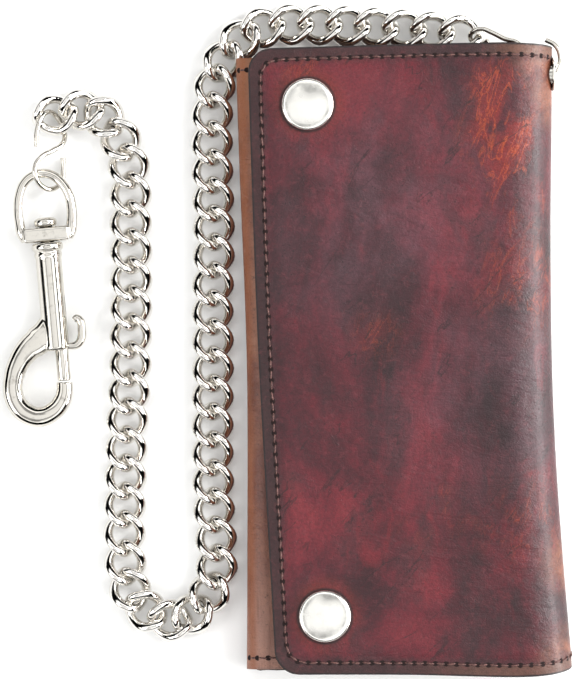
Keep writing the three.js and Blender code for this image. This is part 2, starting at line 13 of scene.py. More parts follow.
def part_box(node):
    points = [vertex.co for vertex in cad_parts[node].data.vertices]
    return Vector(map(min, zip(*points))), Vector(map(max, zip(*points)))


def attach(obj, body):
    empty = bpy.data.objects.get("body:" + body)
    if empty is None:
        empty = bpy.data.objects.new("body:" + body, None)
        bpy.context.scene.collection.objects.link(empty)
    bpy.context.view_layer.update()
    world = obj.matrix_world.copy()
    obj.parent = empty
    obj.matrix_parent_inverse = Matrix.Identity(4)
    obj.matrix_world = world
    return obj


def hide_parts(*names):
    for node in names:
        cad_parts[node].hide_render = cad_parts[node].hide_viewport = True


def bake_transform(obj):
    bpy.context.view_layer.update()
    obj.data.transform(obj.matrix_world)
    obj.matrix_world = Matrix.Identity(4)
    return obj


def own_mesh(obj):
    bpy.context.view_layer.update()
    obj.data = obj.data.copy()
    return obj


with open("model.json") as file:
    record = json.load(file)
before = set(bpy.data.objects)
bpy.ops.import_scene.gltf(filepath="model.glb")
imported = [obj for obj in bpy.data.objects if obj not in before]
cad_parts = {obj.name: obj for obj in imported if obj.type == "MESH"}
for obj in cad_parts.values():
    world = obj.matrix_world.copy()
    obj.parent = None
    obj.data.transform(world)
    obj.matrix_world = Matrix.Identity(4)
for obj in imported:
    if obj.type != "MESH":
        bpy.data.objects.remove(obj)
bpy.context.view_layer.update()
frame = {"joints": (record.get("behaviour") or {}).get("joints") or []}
MM = 0.001
chance = random.Random(11)

# ---- sizes of the leather ---------------------------------------------------

HIDE = 2.0                      # thickness of the shell hide
LINING = 0.6
FLAP_Z = 18.8                   # outer face of the closed flap
TAB_Z = 13.6                    # outer face of the snap tab
FOLD_WIDE, FOLD_HIGH = 14.0, 10.5    # the soft fold at the spine
SIDE_WIDE, SIDE_HIGH = 6.0, 5.2      # the fold at the opening side
BACK_FOLD = 2.6                 # the tight folds at the back's two long edges
CORNER = 7.0
STITCH_INSET = 3.5
STITCH_PITCH = 3.15
SNAPS = [(-26.9, 76.8), (-24.4, -74.6)]

# where each long edge runs: pairs of place along the wallet and place across it
SPINE = [(-94, 49.1), (-88, 48.8), (-60, 46.9), (-30, 45.3), (0, 44.6), (40, 44.9), (70, 45.7), (94, 46.3)]
FREE = [(-94, -39.3), (-87, -39.4), (-40, -41.2), (4, -42.8), (40, -43.6), (78, -44.2), (95, -44.4)]
SIDE = [(-91, -47.9), (-60, -47.2), (0, -46.3), (60, -47.5), (92, -48.0)]
FLAP_LOW = [(-45, -91.6), (0, -92.4), (30, -93.6), (40, -93.4), (50, -92.0), (60, -90.4), (75, -89.6)]
FLAP_HIGH = [(-45, 93.6), (0, 94.1), (30, 94.2), (40, 93.8), (50, 93.0), (60, 92.0), (75, 91.4)]


def through(table, at):
    """The value at a place on a smooth line through the table's pairs."""
    at = min(max(at, table[0][0]), table[-1][0])
    i = max(k for k in range(len(table) - 1) if table[k][0] <= at)
    (x0, y0), (x1, y1) = table[i], table[i + 1]
    before = table[max(i - 1, 0)]
    after = table[min(i + 2, len(table) - 1)]
    t = (at - x0) / (x1 - x0)
    slope0 = (y1 - before[1]) / (x1 - before[0]) * (x1 - x0)
    slope1 = (after[1] - y0) / (after[0] - x0) * (x1 - x0)
    return (y0 * (2 * t**3 - 3 * t**2 + 1) + slope0 * (t**3 - 2 * t**2 + t)
            + y1 * (3 * t**2 - 2 * t**3) + slope1 * (t**3 - t**2))


def stations(low, high, count):
    """Evenly spaced places from low to high, both ends included."""
    return [low + (high - low) * i / count for i in range(count + 1)]


def smooth(low, high, value):
    t = min(max((value - low) / (high - low), 0.0), 1.0)
    return t * t * (3 - 2 * t)


# ---- modelling helpers ------------------------------------------------------

def nothing_selected():
    for o in list(bpy.context.selected_objects):
        o.select_set(False)


def only(o):
    nothing_selected()
    o.select_set(True)
    bpy.context.view_layer.objects.active = o


def fresh(name):
    """Names the primitive that was just added."""
    o = bpy.context.object
    o.name = o.data.name = name
    return o


def pick(o, test, kind="VERT"):
    """Goes into edit mode with what passes the test selected."""
    bpy.ops.object.mode_set(mode="OBJECT")
    bpy.context.tool_settings.mesh_select_mode = (kind == "VERT", kind == "EDGE", kind == "FACE")
    mesh = o.data
    for group in (mesh.vertices, mesh.edges, mesh.polygons):
        group.foreach_set("select", [False] * len(group))
    if kind == "VERT":
        for v in mesh.vertices:
            v.select = test(v.co / MM)
    if kind == "EDGE":
        for e in mesh.edges:
            e.select = test(*(mesh.vertices[i].co / MM for i in e.vertices))
    if kind == "FACE":
        for f in mesh.polygons:
            f.select = test(f.center / MM, f.normal)
    bpy.ops.object.mode_set(mode="EDIT")


def done():
    bpy.ops.object.mode_set(mode="OBJECT")


def modify(o, kind, **settings):
    only(o)
    m = o.modifiers.new(kind.lower(), kind)
    for key, value in settings.items():
        setattr(m, key, value)
    bpy.ops.object.modifier_apply(modifier=m.name)


def smooth_shaded(o, angle=35):
    only(o)
    bpy.ops.object.shade_smooth_by_angle(angle=math.radians(angle))
    return o


def set_down(o, matrix):
    """Moves a piece's mesh to its place and leaves its object at the origin."""
    only(o)
    o.matrix_world = matrix
    bpy.ops.object.transform_apply(location=True, rotation=True, scale=True)
    return o


def softened(o, width, angle=30, segments=2):
    """Rounds the edges that are sharper than the angle."""
    modify(o, "BEVEL", width=width * MM, segments=segments, limit_method="ANGLE",
           angle_limit=math.radians(angle))


def in_mm(corners):
    return [c / MM for c in corners]


def at(x, y, z):
    return Matrix.Translation(Vector((x, y, z)) * MM)


def askew(most, axis):
    """A small random turn, as nothing made by hand or machine lies quite straight."""
    return Matrix.Rotation(math.radians(chance.uniform(-most, most)), 4, axis)


def joined(name, pieces):
    nothing_selected()
    for o in pieces:
        o.select_set(True)
    bpy.context.view_layer.objects.active = pieces[0]
    bpy.ops.object.join()
    o = bpy.context.object
    o.name = o.data.name = name
    return o


def copied(o, name, matrix):
    new = bpy.data.objects.new(name, o.data.copy())
    bpy.context.collection.objects.link(new)
    new.data.transform(matrix)
    return new


def discard(*objects):
    for o in objects:
        bpy.data.objects.remove(o, do_unlink=True)


def draped(name, points, flip=False):
    """A grid laid through rows of points, for leather that lies in a soft curve."""
    rows, columns = len(points), len(points[0])
    nothing_selected()
    bpy.ops.mesh.primitive_grid_add(x_subdivisions=columns - 1, y_subdivisions=rows - 1, size=2)
    o = fresh(name)
    for v in o.data.vertices:
        i = round((v.co.x + 1) / 2 * (columns - 1))
        j = round((v.co.y + 1) / 2 * (rows - 1))
        v.co = points[j][i] * MM
    if flip:
        pick(o, lambda co: True)
        bpy.ops.mesh.flip_normals()
        done()
    return o


def mark(o, edge=None):
    """Keeps each point's place at rest, and its distance from the cut edge, for the leather's pattern."""
    mesh = o.data
    rest = mesh.attributes.new("hide_mm", "FLOAT_VECTOR", "POINT")
    rest.data.foreach_set("vector", [c / MM for v in mesh.vertices for c in v.co])
    cut = mesh.attributes.new("edge_mm", "FLOAT", "POINT")
    cut.data.foreach_set("value", [edge(v.co / MM) if edge else 20.0 for v in mesh.vertices])
    return o


def turned(name, profile, steps=48):
    """A lathed piece: a profile of radius and height drawn out from one point, then spun about Z."""
    nothing_selected()
    bpy.ops.mesh.primitive_plane_add(size=MM)
    o = fresh(name)
    pick(o, lambda co: True)
    bpy.ops.mesh.merge(type="CENTER")
    here = Vector((profile[0][0], 0, profile[0][1]))
    bpy.ops.transform.translate(value=here * MM)
    for r, h in profile[1:]:
        there = Vector((r, 0, h))
        bpy.ops.mesh.extrude_region_move(TRANSFORM_OT_translate={"value": (there - here) * MM})
        here = there
    bpy.ops.mesh.select_all(action="SELECT")
    bpy.ops.mesh.spin(steps=steps, angle=2 * math.pi, center=(0, 0, 0), axis=(0, 0, 1))
    bpy.ops.mesh.select_all(action="SELECT")
    bpy.ops.mesh.remove_doubles(threshold=0.002 * MM)
    bpy.ops.mesh.normals_make_consistent(inside=False)
    done()
    return smooth_shaded(o, 40)


def bent_wire(name, route, radii, sides=5, steps=8):
    """Round wire bent through points, flat or in space, its thickness given at each or once."""
    if not isinstance(radii, list):
        radii = [radii] * len(route)
    nothing_selected()
    bpy.ops.curve.primitive_bezier_curve_add()
    o = bpy.context.object
    spline = o.data.splines[0]
    spline.bezier_points.add(len(route) - 2)
    for point, place, radius in zip(spline.bezier_points, route, radii):
        point.co = Vector((*place, 0)[:3]) * MM
        point.handle_left_type = point.handle_right_type = "AUTO"
        point.radius = radius
    o.data.bevel_depth = MM
    o.data.bevel_resolution = sides
    o.data.resolution_u = steps
    o.data.use_fill_caps = True
    only(o)
    bpy.ops.object.convert(target="MESH")
    o = fresh(name)
    pick(o, lambda co: True)
    bpy.ops.mesh.remove_doubles(threshold=0.001 * MM)
    bpy.ops.mesh.normals_make_consistent(inside=False)
    done()
    return smooth_shaded(o, 50)


def block(name, low, high, bevel=0.0, segments=3):
    """A cube drawn out to two corners, its edges rounded."""
    nothing_selected()
    low, high = Vector(low), Vector(high)
    bpy.ops.mesh.primitive_cube_add(size=1, location=(low + high) / 2 * MM, scale=(high - low) * MM)
    o = fresh(name)
    bpy.ops.object.transform_apply(location=True, rotation=True, scale=True)
    if bevel:
        softened(o, bevel, 30, segments)
    return o


def cylinder(name, radius, depth, vertices=32, **placed):
    nothing_selected()
    bpy.ops.mesh.primitive_cylinder_add(vertices=vertices, radius=radius * MM, depth=depth * MM, **placed)
    return fresh(name)


def carve(o, cutter):
    modify(o, "BOOLEAN", operation="DIFFERENCE", object=cutter, solver="EXACT")
    discard(cutter)


# ---- materials --------------------------------------------------------------

def srgb(hex_colour):
    """An sRGB hex colour as the linear colour that a shader takes."""
    out = []
    for i in (1, 3, 5):
        c = int(hex_colour[i:i + 2], 16) / 255
        out.append(c / 12.92 if c <= 0.04045 else ((c + 0.055) / 1.055) ** 2.4)
    return (*out, 1.0)


def fill(node, sockets):
    """Fills a node's sockets with values or links."""
    for key, value in sockets.items():
        if isinstance(value, bpy.types.NodeSocket):
            node.id_data.links.new(value, node.inputs[key])
        else:
            node.inputs[key].default_value = value


def add(tree, kind, settings=None, sockets=None):
    """Adds a node, sets its properties and fills its sockets."""
    n = tree.nodes.new(kind)
    for key, value in (settings or {}).items():
        setattr(n, key, value)
    fill(n, sockets or {})
    return n


def new_material(name):
    m = bpy.data.materials.new(name)
    m.use_nodes = True
    tree = m.node_tree
    tree.nodes.clear()
    shader = add(tree, "ShaderNodeBsdfPrincipled")
    add(tree, "ShaderNodeOutputMaterial", sockets={"Surface": shader.outputs[0]})
    return m, tree, shader


def kept_in_mesh(tree, name, output):
    """What mark() left in the mesh."""
    return add(tree, "ShaderNodeAttribute", {"attribute_name": name}).outputs[output]


def ramp(factor, stops):
    """A colour ramp with the given places and hex colours."""
    n = add(factor.id_data, "ShaderNodeValToRGB", sockets={"Fac": factor})
    elements = n.color_ramp.elements
    while len(elements) < len(stops):
        elements.new(0.5)
    for e, (place, colour) in zip(elements, stops):
        e.position = place
        e.color = srgb(colour)
    return n.outputs[0]


def laid(factor, under, over):
    """One colour laid over another by a factor; a colour is a socket or hex."""
    a, b = (srgb(c) if isinstance(c, str) else c for c in (under, over))
    return add(factor.id_data, "ShaderNodeMix", {"data_type": "RGBA"}, {0: factor, 6: a, 7: b}).outputs[2]


def between(value, low, high, out_low=0.0, out_high=1.0):
    """Value mapped smoothly from one range to another, clamped."""
    n = add(value.id_data, "ShaderNodeMapRange", {"interpolation_type": "SMOOTHSTEP"}, {
        "Value": value, "From Min": low, "From Max": high, "To Min": out_low, "To Max": out_high})
    return n.outputs[0]


def maths(operation, a, *more):
    """A sum on sockets, such as SUBTRACT or ABSOLUTE."""
    return add(a.id_data, "ShaderNodeMath", {"operation": operation}, dict(enumerate((a, *more)))).outputs[0]


def times(a, b):
    return maths("MULTIPLY", a, b)


def mapped(where, **settings):
    """A place scaled, turned or shifted."""
    return add(where.id_data, "ShaderNodeMapping", sockets={"Vector": where, **settings}).outputs[0]


def noise_at(where, size, detail=4.0, rough=0.55, twist=0.0, stretch=(1, 1, 1), shift=(0, 0, 0)):
    """Noise whose blotches are about size millimetres across, drawn out by stretch."""
    place = mapped(where, Scale=tuple(s / size for s in stretch), Location=shift)
    return add(where.id_data, "ShaderNodeTexNoise", sockets={
        "Vector": place, "Scale": 1.0, "Detail": detail, "Roughness": rough, "Distortion": twist}).outputs[0]


def cells_at(where, size):
    place = mapped(where, Scale=(1 / size,) * 3)
    return add(where.id_data, "ShaderNodeTexVoronoi", {"feature": "F1"},
               {"Vector": place, "Scale": 1.0}).outputs[0]


def bump(height, distance, strength, under=None):
    sockets = {"Height": height, "Distance": distance * MM, "Strength": strength}
    if under is not None:
        sockets["Normal"] = under
    return add(height.id_data, "ShaderNodeBump", sockets=sockets).outputs[0]


def near(where, point, inner, outer):
    """1 within inner millimetres of the point, falling to 0 at outer."""
    d = add(where.id_data, "ShaderNodeVectorMath", {"operation": "DISTANCE"}, {0: where, 1: point})
    return between(d.outputs["Value"], inner, outer, 1.0, 0.0)


def leather_relief(where, pore=0.55):
    """Pores, fine wrinkles and a few soft creases in a hide's surface."""
    n = bump(cells_at(where, pore), 0.09, 0.7)
    n = bump(noise_at(where, 1.3, 7.0, 0.66, 0.8, (1.0, 1.5, 1.0)), 0.2, 0.85, n)
    return bump(noise_at(where, 9.0, 5.0, 0.55, 1.6, (0.5, 1.5, 1.0)), 0.9, 0.6, n)


def burgundy_hide():
    """Oiled pull-up cowhide, hand-dyed: a waxy shine over red and near-black blotches, pale where it bends."""
    m, tree, shader = new_material("oiled_burgundy_cowhide")
    where = kept_in_mesh(tree, "hide_mm", "Vector")
    edge = kept_in_mesh(tree, "edge_mm", "Fac")
    blotch = noise_at(where, 30, 9.0, 0.66, 0.5, (1.25, 0.7, 1.0), (3.1, 1.4, 0))
    colour = ramp(blotch, [(0.33, "#1b050a"), (0.43, "#340a13"), (0.51, "#480f1a"), (0.59, "#5d1420"),
                           (0.70, "#722028")])
    smoke = noise_at(where, 17, 6.0, 0.62, 0.4, (1.5, 0.7, 1.0), (8.0, 2.0, 0))
    colour = laid(between(smoke, 0.48, 0.66, 0.0, 0.5), colour, "#2c191d")
    red = noise_at(where, 12, 7.0, 0.66, 0.9, (1.0, 0.45, 1.0), (1.0, 5.0, 0))
    colour = laid(between(red, 0.56, 0.72, 0.0, 0.5), colour, "#74111c")
    # painted reflection: a dull plum haze of reflected light laid over the middle
    reflection_blotch = noise_at(where, 22, 7.0, 0.62, 0.4, (1.0, 0.7, 1.0), (5.0, 9.0, 0))
    painted_reflection_mask = maths("MAXIMUM", near(where, (-4, 42, 18), 8, 52), near(where, (22, -8, 18), 4, 44))
    colour = laid(times(painted_reflection_mask, between(reflection_blotch, 0.36, 0.66, 0.05, 0.45)), colour, "#6b444e")
    # pulled-up streaks where the hide has been bent, near the spine's upper half
    leaning = mapped(where, Rotation=(0, 0, 0.35))
    vein = noise_at(leaning, 6.5, 8.0, 0.62, 0.9, (1.7, 0.5, 1.0), (2.0, 7.0, 0))
    off = maths("SUBTRACT", vein, 0.5)
    ridge = maths("ABSOLUTE", off)
    line = between(ridge, 0.004, 0.03, 1.0, 0.0)
    patch = noise_at(where, 11, 5.0, 0.6, 0.6, (1.2, 0.6, 1.0), (9.0, 3.0, 0))
    streak = times(line, between(patch, 0.42, 0.58))
    glow = between(patch, 0.44, 0.62)
    for place, inner, outer, amount in (((32, 80, 18), 3, 15, 0.95), ((31, 66, 18), 4, 17, 1.0),
                                        ((34, 50, 18), 2, 16, 0.8),
                                        ((38, 24, 17), 2, 24, 0.5), ((36, -48, 17), 2, 20, 0.4),
                                        ((-8, 8, 18), 1, 11, 0.3),
                                        ((8, -44, 18), 1, 16, 0.3), ((-24, 86, 18), 2, 16, 0.5)):
        spot = times(near(where, place, inner, outer), amount)
        colour = laid(times(glow, times(spot, 0.75)), colour, "#7a1d18")
        colour = laid(times(streak, times(spot, 0.85)), colour, "#a2421e")
    # long diagonal creases from the wallet being sat on, drawn as painted shade: dark lines in the colour only
    slant = mapped(where, Rotation=(0, 0, 0.75))
    long_wave = noise_at(slant, 21, 5.0, 0.5, 0.25, (1.9, 0.42, 1.0), (3.0, 1.0, 0))
    away = maths("SUBTRACT", long_wave, 0.52)
    crease_shade = between(maths("ABSOLUTE", away), 0.0, 0.012, 1.0, 0.0)
    crease_shade = times(crease_shade, between(patch, 0.46, 0.6))
    colour = laid(times(crease_shade, 0.7), colour, "#1a080c")
    pores = between(cells_at(where, 1.5), 0.06, 0.22, 0.75, 0.0)
    colour = laid(times(pores, between(smoke, 0.4, 0.6)), colour, "#12060a")
    # the dye is thin round the snaps and in the corner beside them
    for x, y in SNAPS:
        halo = near(where, (x, y, FLAP_Z), 7.5, 13.5)
        rough_halo = times(halo, between(smoke, 0.35, 0.62, 0.7, 0.15))
        colour = laid(rough_halo, colour, "#6e2218")
    # rubbed tan at the spine's two ends
    tan = noise_at(where, 5, 6.0, 0.65, 0.5, shift=(4, 4, 0))
    for place, inner, outer in (((47, 93, 14), 3, 19), ((48, -92, 12), 3, 17), ((47, 78, 12), 1, 13),
                                ((47, -60, 10), 0, 14)):
        worn = times(near(where, place, inner, outer), between(tan, 0.30, 0.62, 0.25, 0.95))
        colour = laid(worn, colour, "#84503a")
    # outside the seam the hide is flat, plum brown, and its cut edge is burnished dark
    grime = noise_at(where, 9, 5.0, 0.6)
    plum = ramp(grime, [(0.3, "#2a1618"), (0.7, "#412b2a")])
    margin = times(between(edge, 2.9, 4.1, 1.0, 0.0), 0.82)
    worn_end = near(where, (44, 92, 16), 6, 22)
    plum = laid(times(worn_end, 0.85), plum, "#8f634b")
    worn_low = near(where, (40, -93, 15), 8, 48)
    plum = laid(times(worn_low, 0.7), plum, "#8a6350")
    colour = laid(margin, colour, plum)
    seam = between(edge, 4.0, 6.2, 0.45, 0.0)
    colour = laid(seam, colour, "#2a090d")
    colour = laid(between(edge, 0.25, 0.8, 0.95, 0.0), colour, "#120a0a")
    speck = noise_at(where, 0.9, 3.0, 0.6)
    colour = laid(between(speck, 0.38, 0.7, 0.0, 0.3), colour, "#17080b")
    fleck = noise_at(where, 2.6, 8.0, 0.72, 0.3, shift=(6, 2, 0))
    colour = laid(between(fleck, 0.52, 0.7, 0.0, 0.22), colour, "#7d3a40")
    # painted shade: a thin dark ring against the edge of each snap cap
    for x, y in SNAPS:
        colour = laid(times(near(where, (x, y, FLAP_Z), 7.9, 8.8), 0.85), colour, "#0e0506")
    fill(shader, {
        "Base Color": colour, "Roughness": between(smoke, 0.3, 0.75, 0.34, 0.5), "IOR": 1.5,
        "Specular IOR Level": 0.4, "Coat Weight": 0.1, "Coat Roughness": 0.22,
                  "Normal": leather_relief(where)})
    return m


def plain_leather(name, stops, size=14.0, rough=(0.42, 0.6), edge_colour="#2a1a14", coat=0.1, pore=0.5):
    """Vegetable-tanned leather: soft colour changes, small pores, a darker burnished cut edge."""
    m, tree, shader = new_material(name)
    where = kept_in_mesh(tree, "hide_mm", "Vector")
    edge = kept_in_mesh(tree, "edge_mm", "Fac")
    tone = noise_at(where, size, 6.0, 0.6, 0.4, (1.3, 0.6, 1.0))
    colour = ramp(tone, stops)
    speck = noise_at(where, 0.8, 3.0, 0.6)
    colour = laid(between(speck, 0.4, 0.75, 0.0, 0.3), colour, edge_colour)
    colour = laid(between(edge, 0.2, 0.8, 0.85, 0.0), colour, edge_colour)
    fill(shader, {
        "Base Color": colour, "Roughness": between(tone, 0.3, 0.7, *rough), "IOR": 1.5, "Coat Weight": coat,
        "Coat Roughness": 0.35, "Normal": leather_relief(where, pore)})
    return m, tree, shader, where, colour


def tan_hide():
    """The same hide where the dye has rubbed to saddle tan: brown at its ends, pinkish where it shines."""
    m, tree, shader, where, colour = plain_leather(
        "rubbed_tan_cowhide", [(0.28, "#4f2519"), (0.42, "#6f3a28"), (0.55, "#86523b"), (0.72, "#9c6a52")],
                                                   15.0, (0.36, 0.5), "#2c1812", 0.15)
    place = add(tree, "ShaderNodeSeparateXYZ", sockets={0: where})
    low_end = between(place.outputs["Y"], -92, -40, 1.0, 0.0)
    colour = laid(times(low_end, 0.6), colour, "#a07a6c")
    top_end = between(place.outputs["Y"], 50, 92, 0.0, 1.0)
    colour = laid(times(top_end, 0.6), colour, "#9a6238")
    rubbed = noise_at(where, 5.0, 7.0, 0.7, 0.3, (2.6, 0.16, 1.0), (2.0, 0, 0))
    colour = laid(between(rubbed, 0.48, 0.68, 0.0, 0.6), colour, "#5a2c1b")
    flecks = noise_at(where, 1.1, 6.0, 0.7)
    colour = laid(between(flecks, 0.56, 0.68, 0.0, 0.6), colour, "#2e150e")
    colour = laid(between(place.outputs["X"], -46.2, -43.6, 0.65, 0.0), colour, "#8c4a20")
    # burgundy where the side turns under to the back
    colour = laid(between(place.outputs["Z"], 2.5, 7.0, 1.0, 0.0), colour, "#4a1c1e")
    fill(shader, {"Base Color": colour})
    return m


def suede():
    """Split suede: a short velvet nap that takes no shine and brushes lighter and darker."""
    m, tree, shader = new_material("tan_split_suede")
    where = kept_in_mesh(tree, "hide_mm", "Vector")
    brushed = noise_at(where, 16, 4.0, 0.6, 0.8)
    nap = noise_at(where, 0.45, 5.0, 0.7)
    colour = ramp(brushed, [(0.3, "#6b452c"), (0.7, "#8a5f41")])
    colour = laid(between(nap, 0.35, 0.7, 0.0, 0.45), colour, "#4a2e1e")
    fill(shader, {
        "Base Color": colour, "Roughness": 0.95, "Sheen Weight": 0.3, "Normal": bump(nap, 0.12, 0.7)})
    return m


def waxed_thread(name, light, dark):
    """Waxed polyester thread: twisted strands, a dull wax shine."""
    m, tree, shader = new_material(name)
    where = kept_in_mesh(tree, "hide_mm", "Vector")
    strands = noise_at(where, 0.5, 2.0, 0.5)
    colour = ramp(strands, [(0.35, dark), (0.65, light)])
    fill(shader, {
        "Base Color": colour, "Roughness": 0.6, "Normal": bump(strands, 0.05, 0.6)})
    return m


def painted_hole_shade():
    """The punched hole: painted shade, dark, no shine."""
    m, tree, shader = new_material("punched_hole_shade")
    where = add(tree, "ShaderNodeTexCoord").outputs["Object"]
    grain = noise_at(where, 0.4 * MM, 3.0, 0.6)
    fill(shader, {
        "Base Color": ramp(grain, [(0.3, "#0d0404"), (0.7, "#220a08")]), "Roughness": 0.95})
    return m


def plated(name, colour, dark, rough, spots=0.3):
    """Bright nickel plate on brass or zinc: a warm mirror with faint polishing haze and rub marks."""
    m, tree, shader = new_material(name)
    where = add(tree, "ShaderNodeTexCoord").outputs["Object"]
    haze = noise_at(where, 2.6 * MM, 5.0, 0.6)
    scratch = noise_at(where, 0.7 * MM, 4.0, 0.7, 0.5, (1.0, 0.12, 1.0))
    tint = laid(between(haze, 0.55, 0.8, 0.0, spots), colour, dark)
    fill(shader, {
        "Base Color": tint, "Metallic": 1.0, "Roughness": between(haze, 0.3, 0.75, rough * 0.7, rough * 1.5),
        "Normal": bump(scratch, 0.012, 0.35)})
    return m


def zipper_cloth():
    """Woven polyester zipper tape: a fine herringbone rib with a matt sheen."""
    m, tree, shader = new_material("woven_zipper_tape")
    where = add(tree, "ShaderNodeTexCoord").outputs["Object"]
    rib = add(tree, "ShaderNodeTexWave", {"bands_direction": "Y"}, {
        "Vector": mapped(where, Scale=(1 / MM,) * 3), "Scale": 0.9, "Distortion": 0.8, "Detail": 2.0})
    colour = ramp(rib.outputs["Fac"], [(0.2, "#120c0c"), (0.8, "#33211e")])
    fill(shader, {
        "Base Color": colour, "Roughness": 0.9, "Sheen Weight": 0.2,
        "Normal": bump(rib.outputs["Fac"], 0.1, 0.8)})
    return m


HIDE_BURGUNDY = burgundy_hide()
HIDE_TAN = tan_hide()
SUEDE = suede()
POCKET = plain_leather("dark_brown_pocket_leather", [(0.3, "#2e1b16"), (0.5, "#40261d"), (0.7, "#523226")],
                       18.0)[0]
THREAD = waxed_thread("waxed_brown_thread", "#75504a", "#3a211e")
THREAD_IN = waxed_thread("waxed_dark_thread", "#5f4036", "#33201b")
HOLE_SHADE = painted_hole_shade()
NICKEL = plated("polished_nickel_plate", "#e6e3de", "#b9b5ad", 0.05)
NICKEL_CAST = plated("cast_nickel_plate", "#d6d2ca", "#8f8a81", 0.08, 0.65)
NICKEL_CAP = plated("brushed_nickel_cap", "#f2f0ea", "#cfccc4", 0.2, 0.2)
NICKEL_SATIN = plated("worn_nickel_plate", "#cfccc5", "#9a958c", 0.24)
STEEL = plated("drawn_spring_steel", "#9c9a96", "#5f5d5a", 0.3)
CLOTH = zipper_cloth()


def dressed(o, material, slot, body, *nodes):
    """Gives a finished piece its material, its body and the nodes it stands for; the slot is not used."""
    o.data.materials.clear()
    o.data.materials.append(material)
    if nodes:
        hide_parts(*nodes)
    if body:
        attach(o, body)
    return o


# ---- the hide's shape -------------------------------------------------------

FOLD_LENGTH = 19.4              # along the spine's soft fold, from flat top to upright wall
WALL_FOOT = 2.3
FLAP_SPAN = 186.0               # rows of the flap are spaced over this length


def flap_relief(x, y, edge):
    """How far the closed flap stands above or below flat at a point."""
    across = (x - 2) / 48
    swell = 0.75 * max(0.0, 1 - across**2) * max(0.0, 1 - (y / 97) ** 2)
    rim = -0.5 * (1 - smooth(0.0, 7.0, edge))
    groove = -0.2 * math.exp(-(((edge - 5.3) / 0.8) ** 2))
    wave = 0.32 * noise.noise(Vector((x / 30, y / 38, 1.7))) * smooth(2, 16, edge)
    wave += 0.1 * noise.noise(Vector((x / 9, y / 14, 4.2))) * smooth(2, 12, edge)
    dimple = 0.0
    for sx, sy in SNAPS:
        r = math.hypot(x - sx, y - sy)
        dimple += 1.0 - smooth(6.5, 17.0, r)
    level = swell + wave
    return rim + groove + level * (1 - dimple) - 0.1 * dimple


def flap_edge(a, y):
    """Distance from the flap's cut edge; the spine's wall has none but its two ends."""
    low, high = through(FLAP_LOW, a), through(FLAP_HIGH, a)
    free = through(FREE, y)
    dx, dy = a - free, min(y - low, high - y)
    if dx < CORNER and dy < CORNER:
        return CORNER - math.hypot(CORNER - dx, CORNER - dy)
    return max(0.0, min(dx, dy))


def flap_flat(a, y):
    """A point of the hide's outer face: a runs across the flap and on down round the spine."""
    spine = through(SPINE, y)
    start = spine - FOLD_WIDE
    if a <= start:
        x, z = a, FLAP_Z
    elif a <= start + FOLD_LENGTH:
        turn = (a - start) / FOLD_LENGTH * math.pi / 2
        x = start + FOLD_WIDE * math.sin(turn)
        z = FLAP_Z - FOLD_HIGH * (1 - math.cos(turn))
    else:
        x, z = spine, FLAP_Z - FOLD_HIGH - (a - start - FOLD_LENGTH)
    fade = 1 - smooth(start - 2, start + FOLD_LENGTH * 0.8, a)
    return Vector((x, y, z + fade * flap_relief(x, y, flap_edge(a, y))))


def lifted(surface, a, y, lift):
    """A point a little above or below a surface, along its normal, with the normal."""
    step = 0.2
    da = surface(a + step, y) - surface(a - step, y)
    dy = surface(a, y + step) - surface(a, y - step)
    normal = da.cross(dy).normalized()
    return surface(a, y) + normal * lift, normal


def corner_pull(gap):
    """How far the cut edge draws in beside a rounded corner, gap from the end."""
    if gap >= CORNER:
        return 0.0
    return CORNER - math.sqrt(max(0.0, CORNER**2 - (CORNER - gap) ** 2))


NEAR_EDGE = [0, 0.25, 0.6, 1.1, 1.8, 2.6, 3.4, 4.2, 4.9, 5.6, 6.5, 8.0, 10.0]


def row_places(low, high, count):
    """Places from low to high, close together near both ends."""
    inner = [low + d for d in NEAR_EDGE[:-1]]
    outer = [high - d for d in reversed(NEAR_EDGE[:-1])]
    a, b = low + NEAR_EDGE[-1], high - NEAR_EDGE[-1]
    return inner + stations(a, b, count) + outer


def flap_grid(lift, inset, foot, count=64):
    """Rows of points over the flap, the fold and the spine."""
    rows = []
    for place in row_places(0.0, FLAP_SPAN, count):
        t = place / FLAP_SPAN
        row = []
        y_mid = -92.4 + inset + t * (186.4 - 2 * inset)
        gap = min(place, FLAP_SPAN - place)
        free = through(FREE, y_mid) + inset + corner_pull(gap)
        last = through(SPINE, y_mid) - FOLD_WIDE + FOLD_LENGTH + FLAP_Z - FOLD_HIGH - foot
        fold = through(SPINE, y_mid) - FOLD_WIDE
        columns = [free + d for d in NEAR_EDGE]
        columns += stations(columns[-1], fold, 40)[1:]
        columns += stations(fold, last, 18)[1:]
        for a in columns:
            low = through(FLAP_LOW, a) + inset
            high = through(FLAP_HIGH, a) - inset
            y = low + t * (high - low)
            row.append(lifted(flap_flat, a, y, lift)[0] if lift else flap_flat(a, y))
        rows.append(row)
    return rows


def unrolled(co):
    """The across-the-hide place of a point on the flap or spine."""
    spine = through(SPINE, co.y)
    start = spine - FOLD_WIDE
    if co.x <= start:
        return co.x
    if co.z > FLAP_Z - FOLD_HIGH:
        turn = math.acos(min(1.0, max(0.0, 1 - (FLAP_Z - co.z) / FOLD_HIGH)))
        return start + turn / (math.pi / 2) * FOLD_LENGTH
    return start + FOLD_LENGTH + FLAP_Z - FOLD_HIGH - co.z


def thickened(o, thickness, round_edge=0.45):
    modify(o, "SOLIDIFY", thickness=thickness * MM, offset=-1.0, use_even_offset=False)
    softened(o, round_edge, 50)
    return smooth_shaded(o, 60)


hide_flap = draped("flap_and_spine", flap_grid(0.0, 0.0, WALL_FOOT))
mark(hide_flap, lambda co: flap_edge(unrolled(co), co.y))
thickened(hide_flap, HIDE)
dressed(hide_flap, HIDE_BURGUNDY, "burgundy_leather", None, "shell_flap", "shell_spine")
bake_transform(hide_flap)

